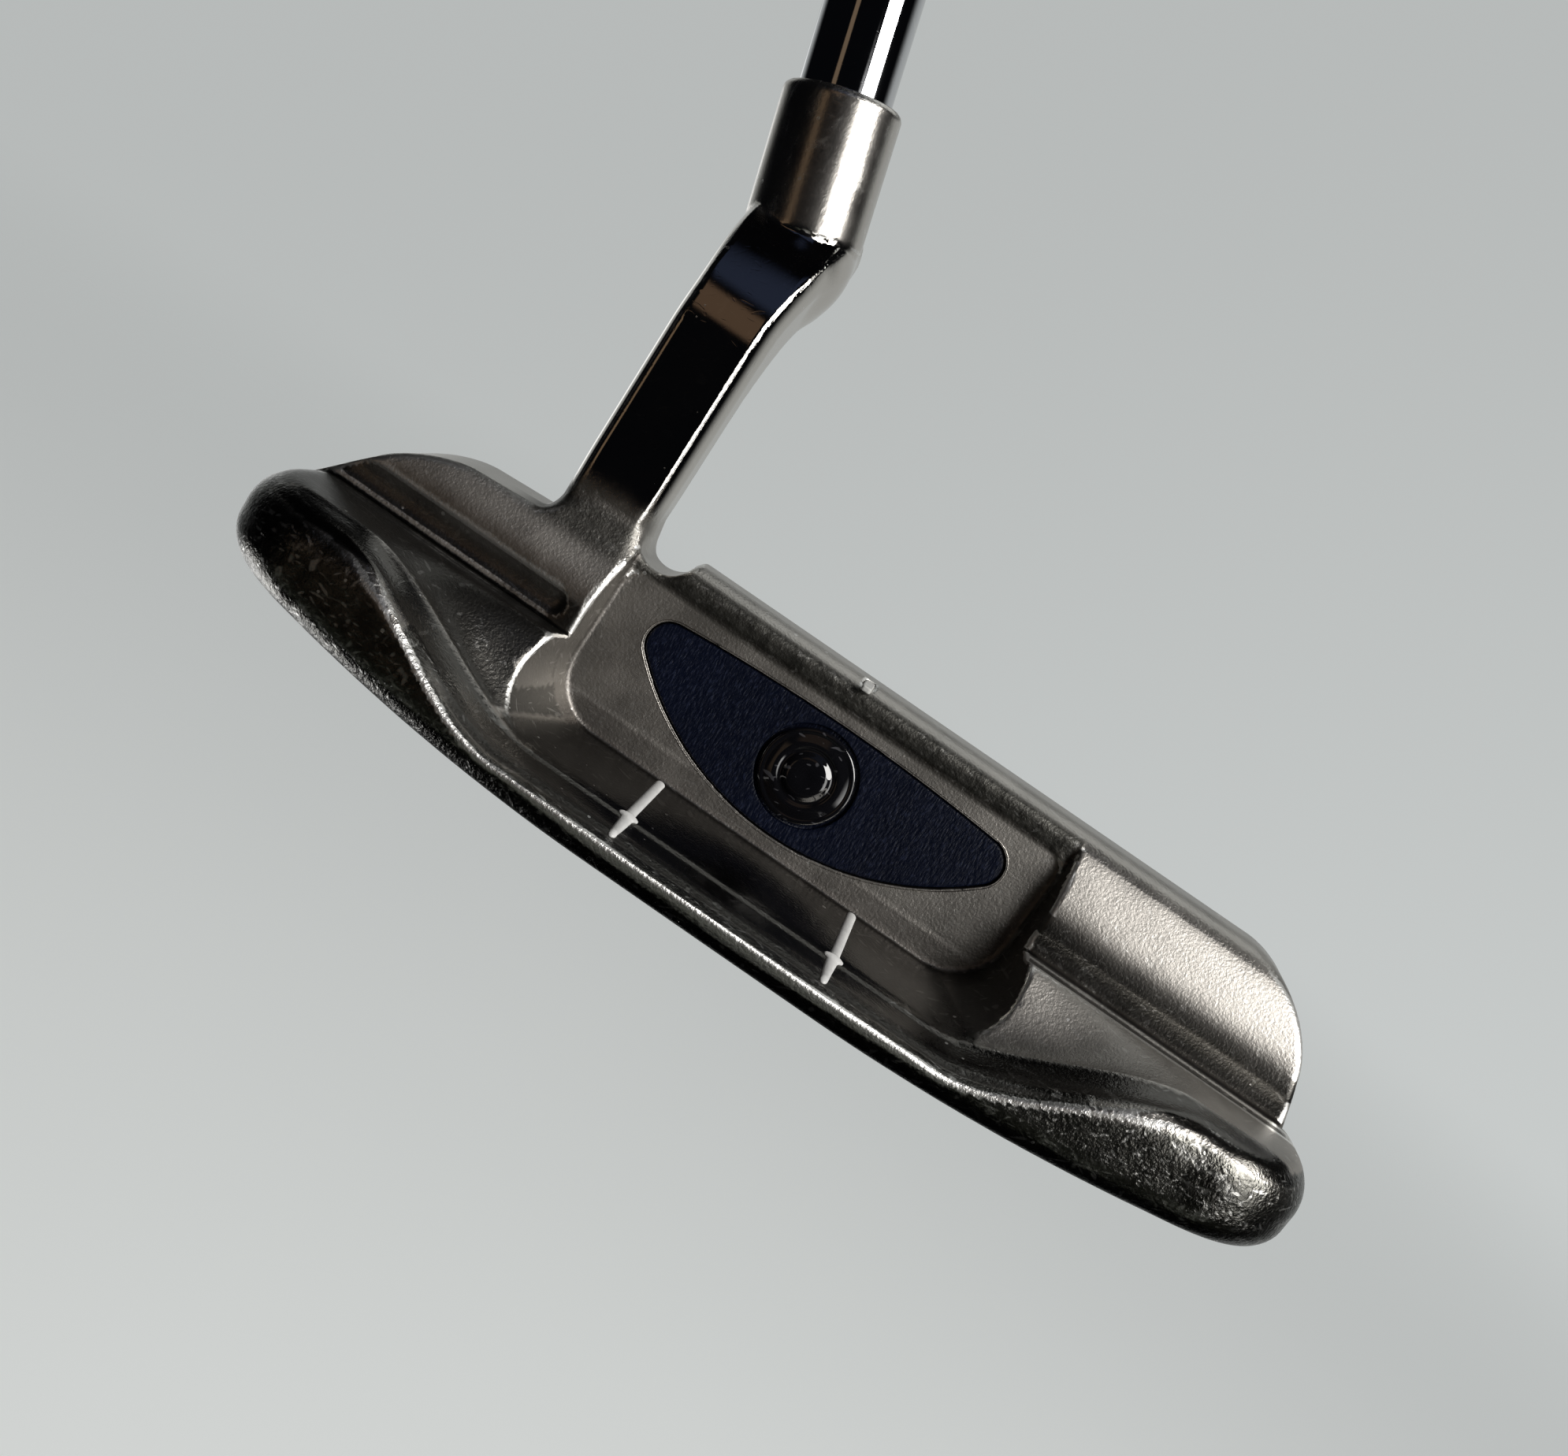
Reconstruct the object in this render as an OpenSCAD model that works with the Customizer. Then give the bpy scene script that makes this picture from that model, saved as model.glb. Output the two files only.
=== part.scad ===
// Heel-and-toe weighted blade putter with a plumber's-neck hosel, a stepped steel shaft and a paddle grip.
// It stands at address: the sole's flat is centred on the origin, +X points to the toe, +Y to the target
// and the golfer stands on the -X side, towards which the shaft leans.

/* [Head] */
// Height of the topline above the ground
topline_h = 25.6; // [24.5:0.1:27]
// Height of the heel's top above the ground
heel_h = 21.7; // [20:0.1:23]
// Heel end of the head, measured from the cavity's centre
heel_reach = 57.4; // [56:0.1:62]
// Toe end of the head, measured from the cavity's centre
toe_reach = 59.1; // [58:0.1:64]
// Half of the head's depth, from leading edge to trailing edge
half_depth = 14; // [13.5:0.1:15]
// Loft of the face in degrees
loft = 3.5; // [2:0.5:4.5]
// Thickness of the blade at the topline
topline_t = 6.4; // [5.8:0.1:7]
// Height of the heel and toe shelves above the ground
shelf_h = 13.9; // [13:0.1:15]
// Height of the trailing bumper at the middle
bumper_h = 4.8; // [4.5:0.1:5.5]

/* [Cavity] */
// Half of the cavity's width
cavity_half_w = 26; // [25:0.1:27]
// Height of the cavity's floor at the back wall
floor_h = 6.4; // [6:0.1:7]
// Height of the cavity's roof
cavity_top = 22.8; // [22:0.1:23]
// Radius of the cavity's lower corners
cavity_r = 6; // [4:0.5:7]

/* [Badge and insert] */
// Radius of the badge's lower edge
badge_low_r = 28.8; // [27:0.1:31]
// Height of the badge's lowest point
badge_low = 8.1; // [8:0.1:9]
// Height of the badge's highest point
badge_high = 20.9; // [20:0.1:21.5]
// Thickness of the badge
badge_t = 1.3; // [1:0.1:1.6]
// Radius of the medallion
medal_r = 4.75; // [4:0.05:5.5]
// Height of the medallion's centre
medal_z = 14.9; // [14:0.1:15.5]
// Width of the face insert
insert_w = 72; // [60:1:76]
// Height of the face insert
insert_h = 15; // [13:0.5:16]
// Thickness of the face insert
insert_t = 3.4; // [2.5:0.1:3.8]

/* [Sight lines] */
// Distance of each sight line from the middle
sight_x = 11.2; // [9:0.1:13]
// Width of a sight line
sight_w = 0.85; // [0.6:0.05:1.2]
// Depth of a sight line's groove
sight_d = 0.4; // [0.3:0.05:0.6]

/* [Neck and shaft] */
// Lie angle between the shaft and the ground in degrees
lie = 74; // [72:0.5:75]
// Distance of the shaft's axis in front of the origin
shaft_y = 17.8; // [17:0.1:19]
// Outside diameter of the hosel
hosel_d = 12; // [11.6:0.1:13]
// Length of the hosel's collar along the shaft
hosel_len = 13.8; // [12:0.1:16]
// Diameter of the shaft's tip
tip_d = 9.4; // [9.2:0.1:9.4]
// Diameter of the shaft's butt
butt_d = 15.2; // [14.7:0.1:15.2]
// Wall thickness of the shaft
shaft_wall = 0.6; // [0.5:0.05:0.8]
// Number of steps in the shaft
step_count = 11; // [8:1:14]
// Length of the club along the shaft, from the ground to the cap
club_len = 889; // [838:1:914]

/* [Grip] */
// Length of the grip
grip_len = 267; // [250:1:280]
// Radius of the grip's mouth
grip_mouth_r = 9; // [8.8:0.1:10]
// Radius of the grip near the cap
grip_cap_r = 15; // [14:0.1:16]
// Distance from the shaft's axis to the grip's flat front
grip_flat = 9.6; // [9.2:0.1:10.5]
// Radius of the vent hole in the cap
vent_r = 1.5; // [1.2:0.1:2]

/* [Hidden] */
$fn = 96;

// Sole and ends of the head
sole_flat_half = 12;
camber_r = 187;
relief_start = -3;
relief_r = 27;
end_z = 9;
end_r = 4.8;
corner_r = 11;
bow = 2.4;
bow_end = 46;
lead_r = 3;
// Rear surfaces of the head
shelf_rear = -6.6;
shelf_front = 0.2;
wall_top_y = 6.4;
wall_tilt = 4.5;
floor_fall = 4.5;
s_start = 21;
s_end = 46;
ridge_drop = 0.7;
// Badge and medallion
tip_round = 2.4;
badge_high_r = 200;
badge_low_c = [0.2, badge_low + badge_low_r];
badge_high_c = [0.2, badge_high - badge_high_r];
badge_recess = 0.25;
glue_t = 0.15;
gap = 0.1;
medal_seat = 0.6;
medal_edge = 0.35;
medal_dome = 0.75;
peg_r = 1.5;
peg_len = 0.4;
// Face insert
insert_z = 12.6;
insert_tape_t = 0.2;
groove_count = 7;
groove_pitch = 1.8;
groove_w = 0.6;
groove_d = 0.3;
// Neck
neck_x = -30.4;
neck_back_y = 6;
neck_half_w = 4.8;
neck_flat_half_w = 3.7;
neck_curve_z = 43;
bore_depth = 14.8;
epoxy_t = 0.1;
// Distances along the shaft's axis, from the ground
foot_x = -14.1;
hosel_top_s = 69.8 / sin(lie);
hosel_low_s = hosel_top_s - hosel_len;
tip_s = hosel_top_s - bore_depth;
cap_t = 6;
butt_s = club_len - cap_t;
grip_low_s = club_len - grip_len;
first_step_s = tip_s + 230;
step_len = (grip_low_s - 15 - first_step_s) / (step_count - 1);
plug_len = 22;
// Grip
tape_t = 0.15;
grip_bore_r = butt_d / 2 + tape_t;
grip_body_len = grip_len - cap_t;

// Points of an arc about a centre
function arc(centre, r, a0, a1, n) =
    [for (i = [0:n]) let (a = a0 + (a1 - a0) * i / n) [centre[0] + r * cos(a), centre[1] + r * sin(a)]];
// Smooth change from 0 to 1
function ease(t) = let (u = min(1, max(0, t))) u * u * (3 - 2 * u);
// Height of the ground-side surface along the head
function camber(x) = let (u = max(0, abs(x) - sole_flat_half)) u * u / (2 * camber_r);
// Lift of the sole towards the trailing edge
function relief(y) = let (u = max(0, relief_start - y)) u * u / (2 * relief_r);
// Height of the upper and the lower edge of the S-shaped band along the head
function band(x, low, high, finish) = low + (high - low) * ease((abs(x) - s_start) / (finish - s_start));
function band_upper(x) = band(x, floor_h - ridge_drop, shelf_h, s_end);
function band_lower(x) = band(x, bumper_h, shelf_h - 0.5, s_end - 2);
// Depth of the lofted face and of the cavity's back wall at a height
function face_y(z) = half_depth - z * tan(loft);
function wall_y(z) = wall_top_y - (cavity_top - z) * tan(wall_tilt);

// Extrudes an outline drawn in X and Z along Y, and one drawn in Y and Z along X
module along_y(y0, y1) {
    translate([0, y1, 0]) rotate([90, 0, 0]) linear_extrude(y1 - y0) children();
}
module along_x(x0, x1) {
    translate([x0, 0, 0]) rotate([90, 0, 90]) linear_extrude(x1 - x0) children();
}
// Places children, drawn along +Z, on the shaft's axis at a distance from the ground
module on_shaft(s) {
    translate([foot_x, shaft_y, 0]) rotate([0, lie - 90, 0]) translate([0, 0, s]) children();
}

// Head seen from the front: sole, round ends, heel top, neck dip, topline and toe
module head_outline() {
    heel_end = [-heel_reach + end_r, end_z];
    toe_end = [toe_reach - end_r, end_z];
    polygon(concat(
        [[-heel_reach + 10, -1], [toe_reach - 10, -1]],
        arc(toe_end, end_r, -58, 52, 14),
        [[toe_reach - 4.2, 15.6]],
        arc([44.2, topline_h - 10.2], 10.2, 24, 90, 12),
        [[-20.6, topline_h]],
        arc([-23.6, topline_h + 0.2], 2.9, -55, -125, 8),
        [[-26, topline_h], [-34.8, topline_h], [-35.4, heel_h + 0.6], [-36.4, heel_h]],
        arc([-44.4, heel_h - 6], 6, 90, 133, 8),
        [[-heel_reach + 3.6, 13.6]],
        arc(heel_end, end_r, 128, 238, 14)));
}
// Head seen from above: straight face, round corners and a bowed trailing edge
module head_plan() {
    bow_r = (bow_end * bow_end + bow * bow) / (2 * bow);
    bow_a = asin(bow_end / bow_r);
    corner_y = -half_depth + bow + corner_r;
    polygon(concat(
        [[-heel_reach + 3.2, half_depth + 1], [-heel_reach, corner_y + 2]],
        arc([-heel_reach + corner_r, corner_y], corner_r, 180, 264, 12),
        arc([0, -half_depth + bow_r], bow_r, 270 - bow_a, 270 + bow_a, 16),
        arc([toe_reach - corner_r, corner_y], corner_r, 276, 360, 12),
        [[toe_reach, corner_y + 2], [toe_reach - 3.2, half_depth + 1]]));
}
// Section of the heel and toe weights: face, topline, convex back wall, cove and shelf
module weight_section() {
    rear_y = face_y(topline_h) - topline_t;
    polygon(concat(
        arc([face_y(lead_r) - lead_r, lead_r], lead_r, -90, -loft, 10),
        arc([face_y(topline_h) - 1, topline_h - 1], 1, 0, 90, 6),
        arc([rear_y + 0.8, topline_h - 0.8], 0.8, 90, 160, 6),
        arc([rear_y + 7.6, 16.2], 11, 142, 180, 8),
        arc([rear_y - 5.2, 15.6], 1.7, 0, -90, 8),
        [[shelf_rear + 0.4, shelf_h], [shelf_rear, shelf_h - 0.6], [shelf_rear, 0]]));
}
// Section of the bumper, with a rounded trailing edge
module bumper_section() {
    polygon(concat(
        [[half_depth - 4, 0], [-10, 0], [-half_depth + 1.2, 1.6]],
        arc([-half_depth + 2.4, 4], 2.4, 215, 180, 4),
        arc([-half_depth + 13, 4.6], 13, 180, 133, 12),
        [[half_depth - 4, shelf_h + 0.2]]));
}
// Region of the front view that lies under the lower edge of the S-shaped band
module under_band() {
    polygon(concat(
        [[-heel_reach - 1, -1]],
        [for (x = [-60:1.5:61.5]) [x, band_lower(x)]],
        [[toe_reach + 3, -1]]));
}
// Solid between two surfaces given as functions of x and y; ys runs from front to rear
module between(xs, ys, low, high) {
    nx = len(xs);
    ny = len(ys);
    top = nx * ny;
    points = concat(
        [for (x = xs) for (y = ys) [x, y, low(x, y)]],
        [for (x = xs) for (y = ys) [x, y, high(x, y)]]);
    faces = concat(
        [for (i = [0:nx - 2]) for (j = [0:ny - 2]) let (a = i * ny + j)
            each [[a, a + ny + 1, a + ny], [a, a + 1, a + ny + 1]]],
        [for (i = [0:nx - 2]) for (j = [0:ny - 2]) let (a = top + i * ny + j)
            each [[a, a + ny, a + ny + 1], [a, a + ny + 1, a + 1]]],
        [for (i = [0:nx - 2]) let (a = i * ny, b = a + ny - 1)
            each [[a, top + a + ny, top + a], [a, a + ny, top + a + ny],
                [b, top + b + ny, b + ny], [b, top + b, top + b + ny]]],
        [for (j = [0:ny - 2]) let (a = j, b = (nx - 1) * ny + j)
            each [[a, top + a + 1, a + 1], [a, top + a, top + a + 1],
                [b, top + b + 1, top + b], [b, b + 1, top + b + 1]]]);
    polyhedron(points, faces);
}
// Warped space above the toe shelf, which sinks to the upper edge of the S-shaped band beside the cavity
module shelf_hollow() {
    start = cavity_half_w - 2.5;
    shelf_low = function (x, y) let (t = ease((shelf_front - y) / (shelf_front - shelf_rear)))
        shelf_h + 0.01 + (band_upper(x) - shelf_h) * t;
    between([for (i = [0:11]) start + i * (s_end + 1 - start) / 11],
        [shelf_front + 1, shelf_front, -2, -4.3, shelf_rear - 0.1, -18],
        shelf_low, function (x, y) shelf_h + 1);
}
// Space under the sole, which is cambered from heel to toe and lifts towards the trailing edge
module sole_hollow() {
    between([-62, -55, -48, -41, -34, -27, -20, -13, 13, 20, 27, 34, 41, 48, 55, 62],
        [20, relief_start - 0.5, -6, -8.5, -11, -13, -16],
        function (x, y) -3, function (x, y) camber(x) + relief(y) - 0.01);
}
// Cavity: a round-cornered opening behind the back wall, with a floor that falls to the rear
module cavity_profile() {
    polygon(concat(
        arc([-cavity_half_w + cavity_r, floor_h + cavity_r], cavity_r, 180, 270, 12),
        arc([cavity_half_w - cavity_r, floor_h + cavity_r], cavity_r, 270, 360, 12),
        arc([cavity_half_w - 3, cavity_top - 3], 3, 0, 90, 8),
        arc([-cavity_half_w + 3, cavity_top - 3], 3, 90, 180, 8)));
}
module cavity() {
    intersection() {
        translate([0, wall_y(floor_h), floor_h]) rotate([floor_fall, 0, 0])
            translate([0, 0, -floor_h]) along_y(-40, 4) cavity_profile();
        along_x(-30, 30) polygon([[-50, 0], [wall_y(0), 0], [wall_y(30), 30], [-50, 30]]);
    }
    // the opening above the wall's lower part is clear to the rear of the topline
    along_x(-cavity_half_w, cavity_half_w)
        polygon([[-40, cavity_top - 3], [wall_y(cavity_top - 3) - 0.05, cavity_top - 3],
            [wall_y(cavity_top) - 0.05, cavity_top],
            [face_y(topline_h) - topline_t + 0.06, topline_h - 0.6], [-40, topline_h - 0.6]]);
}
module weights() {
    difference() {
        intersection() {
            along_x(-heel_reach - 1, toe_reach + 1) weight_section();
            along_y(-20, 20) head_outline();
            linear_extrude(40) head_plan();
        }
        cavity();
        shelf_hollow();
        mirror([1, 0, 0]) shelf_hollow();
    }
}
module bumper() {
    intersection() {
        along_x(-heel_reach - 1, toe_reach + 1) bumper_section();
        along_y(-20, 8) head_outline();
        along_y(-20, 8) under_band();
        linear_extrude(40) head_plan();
    }
}
// Side view of the neck: an upright post that swings forward under the hosel
module neck_side() {
    curve_r = 17.3;
    front = face_y(topline_h);
    polygon(concat(
        [[neck_back_y + 0.3, 18], [neck_back_y, 24]],
        arc([neck_back_y + curve_r, neck_curve_z], curve_r, 180, 133, 12),
        [[shaft_y, 58], [shaft_y + 5.2, 58.5]],
        arc([shaft_y - 0.6, 54], 5.8, 0, -50, 8),
        arc([front + 14, 38], 14, 130, 180, 10),
        [[front - 0.1, 18]]));
}
// Front view of the neck: it flares a little at its foot and under the hosel
module neck_front() {
    polygon([[neck_x - neck_half_w - 0.6, 18], [neck_x - neck_half_w, 26], [neck_x - neck_half_w, 46],
        [neck_x - neck_half_w - 0.6, 60], [neck_x + neck_half_w + 0.9, 60],
        [neck_x + neck_half_w, 46], [neck_x + neck_half_w, 26], [neck_x + neck_half_w + 0.6, 18]]);
}
// Plan of the neck: narrower at its flat back
module neck_plan() {
    side = neck_half_w + 1.2;
    polygon([[neck_x - neck_flat_half_w, 0], [neck_x - neck_flat_half_w, neck_back_y],
        [neck_x - neck_half_w, neck_back_y + 3], [neck_x - side, 13], [neck_x - side, 30],
        [neck_x + side, 30], [neck_x + side, 13], [neck_x + neck_half_w, neck_back_y + 3],
        [neck_x + neck_flat_half_w, neck_back_y], [neck_x + neck_flat_half_w, 0]]);
}
module hosel_profile() {
    r = hosel_d / 2;
    polygon(concat(
        [[0, 0], [r - 0.5, 0], [r, 0.5]],
        arc([r - 0.9, hosel_len - 0.9], 0.9, 0, 90, 6),
        [[0, hosel_len]]));
}
module neck() {
    intersection() {
        along_x(neck_x - 10, neck_x + 10) neck_side();
        along_y(0, 30) neck_front();
        linear_extrude(80) neck_plan();
    }
    on_shaft(hosel_low_s) rotate_extrude() hosel_profile();
}
module hosel_bore() {
    on_shaft(tip_s) cylinder(h = bore_depth + 2, d = tip_d + 2 * epoxy_t);
}

// Outline of the leaf-shaped badge: a long low arc above, a deep arc below and two round tips
module badge_outline(grow = 0) {
    apart = badge_low_c[1] - badge_high_c[1];
    ra = badge_low_r - tip_round;
    rb = badge_high_r - tip_round;
    up = (rb * rb - ra * ra + apart * apart) / (2 * apart);
    side = sqrt(rb * rb - up * up);
    tip_z = badge_high_c[1] + up;
    a_high = atan2(up, side);
    a_low = atan2(tip_z - badge_low_c[1], side);
    polygon(concat(
        arc(badge_low_c, badge_low_r + grow, -180 - a_low, a_low, 36),
        arc([badge_low_c[0] + side, tip_z], tip_round + grow, a_low, a_high, 10),
        arc(badge_high_c, badge_high_r + grow, a_high, 180 - a_high, 20),
        arc([badge_low_c[0] - side, tip_z], tip_round + grow, 180 - a_high, 180 - a_low, 10)));
}
// Places children, drawn with +Z out of the surface, on the cavity's back wall
module on_wall() {
    translate([0, wall_y(floor_h), floor_h]) rotate([90 - wall_tilt, 0, 0])
        translate([0, -floor_h, 0]) children();
}
module on_medal() {
    on_wall() translate([0, medal_z, -badge_recess]) children();
}
// Places children, drawn with +Z out of the surface, on the face
module on_face() {
    translate([0, half_depth, 0]) rotate([loft, 0, 0]) rotate([-90, 0, 0]) mirror([0, 1, 0]) children();
}
module insert_outline(grow = 0) {
    w = insert_w / 2 - insert_h / 2;
    r = insert_h / 2 + grow;
    polygon(concat(arc([w, insert_z], r, -90, 90, 24), arc([-w, insert_z], r, 90, 270, 24)));
}
// One leg of a sight line, drawn on a flat that falls to the rear by an angle
module sight_leg(front, rear, high, fall, lift) {
    translate([-sight_w / 2, front, high]) rotate([fall, 0, 0])
        translate([0, rear - front, -sight_d]) cube([sight_w, front - rear, sight_d + lift]);
}
module sight_line(side, lift = 0) {
    front = wall_y(floor_h) - 0.3;
    translate([side * sight_x, 0, 0]) {
        sight_leg(front, shelf_rear, floor_h, floor_fall, lift);
        sight_leg(shelf_rear, -half_depth + 2.4, bumper_h, 0, lift);
    }
}
module topline_notch(lift = 0) {
    rear_y = face_y(topline_h) - topline_t;
    translate([-0.45, rear_y + 0.4, topline_h - 0.5]) cube([0.9, 2.6, 0.5 + lift]);
}

module head_casting() {
    color("dimgray") difference() {
        union() {
            difference() {
                union() {
                    weights();
                    bumper();
                }
                sole_hollow();
            }
            neck();
        }
        hosel_bore();
        on_wall() translate([0, 0, -badge_t]) linear_extrude(badge_t + 5) badge_outline(gap);
        on_face() translate([0, 0, -insert_t - insert_tape_t]) linear_extrude(insert_t + 5)
            insert_outline(gap);
        sight_line(-1, 2);
        sight_line(1, 2);
        topline_notch(2);
    }
}
module face_insert() {
    color("midnightblue") difference() {
        on_face() translate([0, 0, -insert_t]) linear_extrude(insert_t) insert_outline();
        for (i = [0:groove_count - 1])
            let (z = insert_z + (i - (groove_count - 1) / 2) * groove_pitch - groove_w / 2)
                on_face() translate([-insert_w, z, -groove_d]) cube([2 * insert_w, groove_w, 2]);
    }
}
module insert_tape() {
    color("white") on_face() translate([0, 0, -insert_t - insert_tape_t]) linear_extrude(insert_tape_t)
        insert_outline(-0.6);
}
module cavity_badge() {
    color("midnightblue") difference() {
        on_wall() translate([0, 0, glue_t - badge_t]) linear_extrude(badge_t - glue_t - badge_recess)
            badge_outline();
        on_medal() translate([0, 0, -medal_seat]) cylinder(h = 2, r = medal_r + 0.05);
        on_medal() translate([0, 0, -medal_seat - peg_len]) cylinder(h = 2, r = peg_r + 0.05);
    }
}
module badge_adhesive() {
    color("ivory") on_wall() translate([0, 0, -badge_t]) linear_extrude(glue_t) badge_outline(-0.5);
}
// Domed disc with a raised rim, a dished ring and a locating peg
module badge_medallion() {
    dome_r = (medal_r * medal_r + medal_dome * medal_dome) / (2 * medal_dome);
    color("black") on_medal() rotate_extrude() polygon(concat(
        [[0, -medal_seat - peg_len], [peg_r, -medal_seat - peg_len], [peg_r, -medal_seat],
            [medal_r, -medal_seat], [medal_r, medal_edge]],
        [for (a = [0:1:10]) let (x = (medal_r - 0.5) * (1 - a / 10))
            [x, medal_edge + medal_dome - dome_r + sqrt(dome_r * dome_r - x * x)]]));
}
module sight_line_heel() {
    color("white") sight_line(-1);
}
module sight_line_toe() {
    color("white") sight_line(1);
}
module topline_sight_mark() {
    color("lightgray") topline_notch();
}

// Radius of the shaft after a number of steps
function step_r(i) = tip_d / 2 + (butt_d - tip_d) / 2 * i / step_count;
function step_s(i) = first_step_s + (i - 1) * step_len;
module shaft() {
    outer = concat(
        [[step_r(0), tip_s]],
        [for (i = [1:step_count]) each [[step_r(i - 1), step_s(i) - 1], [step_r(i), step_s(i)]]],
        [[step_r(step_count), butt_s]]);
    inner = [for (i = [len(outer) - 1:-1:0]) [outer[i][0] - shaft_wall, outer[i][1]]];
    color("silver") on_shaft(0) rotate_extrude() polygon(concat(outer, inner));
}
module shaft_epoxy() {
    color("khaki") on_shaft(tip_s) difference() {
        cylinder(h = bore_depth - 0.5, d = tip_d + 2 * epoxy_t);
        translate([0, 0, -1]) cylinder(h = bore_depth + 2, d = tip_d);
    }
}
module tip_plug() {
    color("gray") on_shaft(tip_s + 1) cylinder(h = plug_len, d = tip_d - 2 * shaft_wall);
}

// Grip turned about the shaft, drawn from its mouth
module grip_turned() {
    end_round = 3;
    rotate_extrude() polygon(concat(
        [[0, 0], [grip_mouth_r - 0.6, 0]],
        arc([grip_mouth_r - 0.6, 0.6], 0.6, -90, 0, 4),
        [[grip_mouth_r, 6], [grip_mouth_r + 1.2, grip_len * 0.22],
            [grip_mouth_r + 2.8, grip_len * 0.5], [grip_cap_r - 1.2, grip_len * 0.78]],
        [[grip_cap_r - 0.3, grip_len * 0.88]],
        arc([grip_cap_r - end_round, grip_len - end_round], end_round, 0, 90, 8),
        [[0, grip_len]]));
}
// Side view of the grip: a flat front on +X and a pistol-shaped back
module grip_side() {
    polygon([[grip_flat - 0.6, -1], [grip_flat, grip_len * 0.25], [grip_flat + 0.8, grip_len + 1],
        [-grip_cap_r + 1.5, grip_len + 1], [-grip_cap_r + 0.2, grip_len * 0.95],
        [-grip_cap_r, grip_len * 0.9], [-grip_cap_r + 0.6, grip_len * 0.84],
        [-grip_cap_r + 2.6, grip_len * 0.74], [-grip_mouth_r - 2.2, grip_len * 0.56],
        [-grip_mouth_r - 1.4, grip_len * 0.3], [-grip_mouth_r, 8], [-grip_mouth_r, -1]]);
}
module grip_solid() {
    on_shaft(grip_low_s) intersection() {
        grip_turned();
        along_y(-20, 20) grip_side();
    }
}
module grip() {
    color("darkslategray") difference() {
        intersection() {
            grip_solid();
            on_shaft(grip_low_s - 1) cylinder(h = grip_body_len + 1, r = 2 * grip_cap_r);
        }
        on_shaft(grip_low_s - 1) cylinder(h = grip_len + 2, r = grip_bore_r);
    }
}
module grip_cap() {
    color("dimgray") difference() {
        intersection() {
            grip_solid();
            on_shaft(butt_s) cylinder(h = cap_t + 1, r = 2 * grip_cap_r);
        }
        on_shaft(butt_s - 1) cylinder(h = cap_t + 2, r = vent_r);
    }
}
module grip_tape() {
    color("wheat") on_shaft(grip_low_s + 4) difference() {
        cylinder(h = butt_s - grip_low_s - 4, r = grip_bore_r);
        translate([0, 0, -1]) cylinder(h = grip_len, r = butt_d / 2);
    }
}

head_casting();
face_insert();
insert_tape();
cavity_badge();
badge_adhesive();
badge_medallion();
sight_line_heel();
sight_line_toe();
topline_sight_mark();
shaft();
shaft_epoxy();
tip_plug();
grip();
grip_cap();
grip_tape();
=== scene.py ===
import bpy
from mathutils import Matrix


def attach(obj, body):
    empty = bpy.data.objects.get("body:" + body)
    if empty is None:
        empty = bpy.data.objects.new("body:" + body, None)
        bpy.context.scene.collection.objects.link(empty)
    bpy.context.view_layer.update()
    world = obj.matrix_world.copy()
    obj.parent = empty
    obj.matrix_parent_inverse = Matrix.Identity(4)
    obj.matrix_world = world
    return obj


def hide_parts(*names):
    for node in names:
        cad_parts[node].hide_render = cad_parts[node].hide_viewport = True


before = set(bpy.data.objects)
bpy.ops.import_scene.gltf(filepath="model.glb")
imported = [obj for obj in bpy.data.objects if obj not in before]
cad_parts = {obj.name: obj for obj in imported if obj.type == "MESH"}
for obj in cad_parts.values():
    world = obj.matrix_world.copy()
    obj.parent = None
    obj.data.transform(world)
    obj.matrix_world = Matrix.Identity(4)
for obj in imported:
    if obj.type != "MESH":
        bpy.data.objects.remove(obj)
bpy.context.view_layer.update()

import concurrent.futures
import math

import bmesh
import bpy
import numpy as np
from bpy.props import FloatProperty, FloatVectorProperty, IntProperty, PointerProperty
from bpy.types import Operator, Panel, PropertyGroup
from mathutils import Matrix, Vector

bl_info = {
    "name": "Blade putter",
    "version": (1, 0, 0),
    "blender": (4, 5, 0),
    "location": "3D View > Sidebar > Putter",
    "description": "Builds a heel-and-toe weighted blade putter round its CAD frame",
    "category": "Mesh",
}

# Sizes are in millimetres and angles in degrees, in the CAD's frame: +X to the toe, +Y to the target.
MM = 0.001
TOPLINE_H = 25.6
HEEL_H = 21.7
HEEL_REACH = 57.4
TOE_REACH = 59.1
HALF_DEPTH = 14.0
LOFT = math.radians(3.5)
FLOOR_H = 6.4
CAVITY_TOP = 22.8
WALL_TILT = math.radians(4.5)
SHELF_H = 13.9
RIDGE_Y = -6.6
NECK_X = -30.4
NECK_BACK_Y = 6.0
LIE = math.radians(74)
FOOT = (-14.1, 17.8)
HOSEL_TOP_S = 69.8 / math.sin(LIE)
HOSEL_LOW_S = HOSEL_TOP_S - 13.8
TIP_S = HOSEL_TOP_S - 14.8
HOSEL_R = 6.0
CLUB_LEN = 889.0
CAP_T = 6.0
BUTT_S = CLUB_LEN - CAP_T
GRIP_LEN = 267.0
GRIP_LOW_S = CLUB_LEN - GRIP_LEN
GRIP_MOUTH_R = 9.0
GRIP_CAP_R = 15.0
GRIP_FLAT = 9.6
TIP_R = 4.7
BUTT_R = 7.6
MEDAL_R = 4.75
MEDAL_Z = 14.9
MEDAL_SEAT_N = -0.25
SHAFT_WALL = 0.6
FIRST_STEP = 230.0
BUMPER_R = 13.0
BUMPER_Z = 4.6
# depth, height and radius of the cove between wall and shelf
COVE_HEEL = (1.3, 15.78, 1.9)
COVE_TOE = (1.0, 15.33, 1.75)
COVE_END_X = -29.2
FACE_EDGE_R = 0.9
SOLE_EDGE_R = 2.6
# the camera's place, then its yaw, downward pitch and roll
CAMERA_PLACE = (-0.78, -144.4, 50.5)
CAMERA_TURN = (-1.38, 12.36, 34.20)


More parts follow.
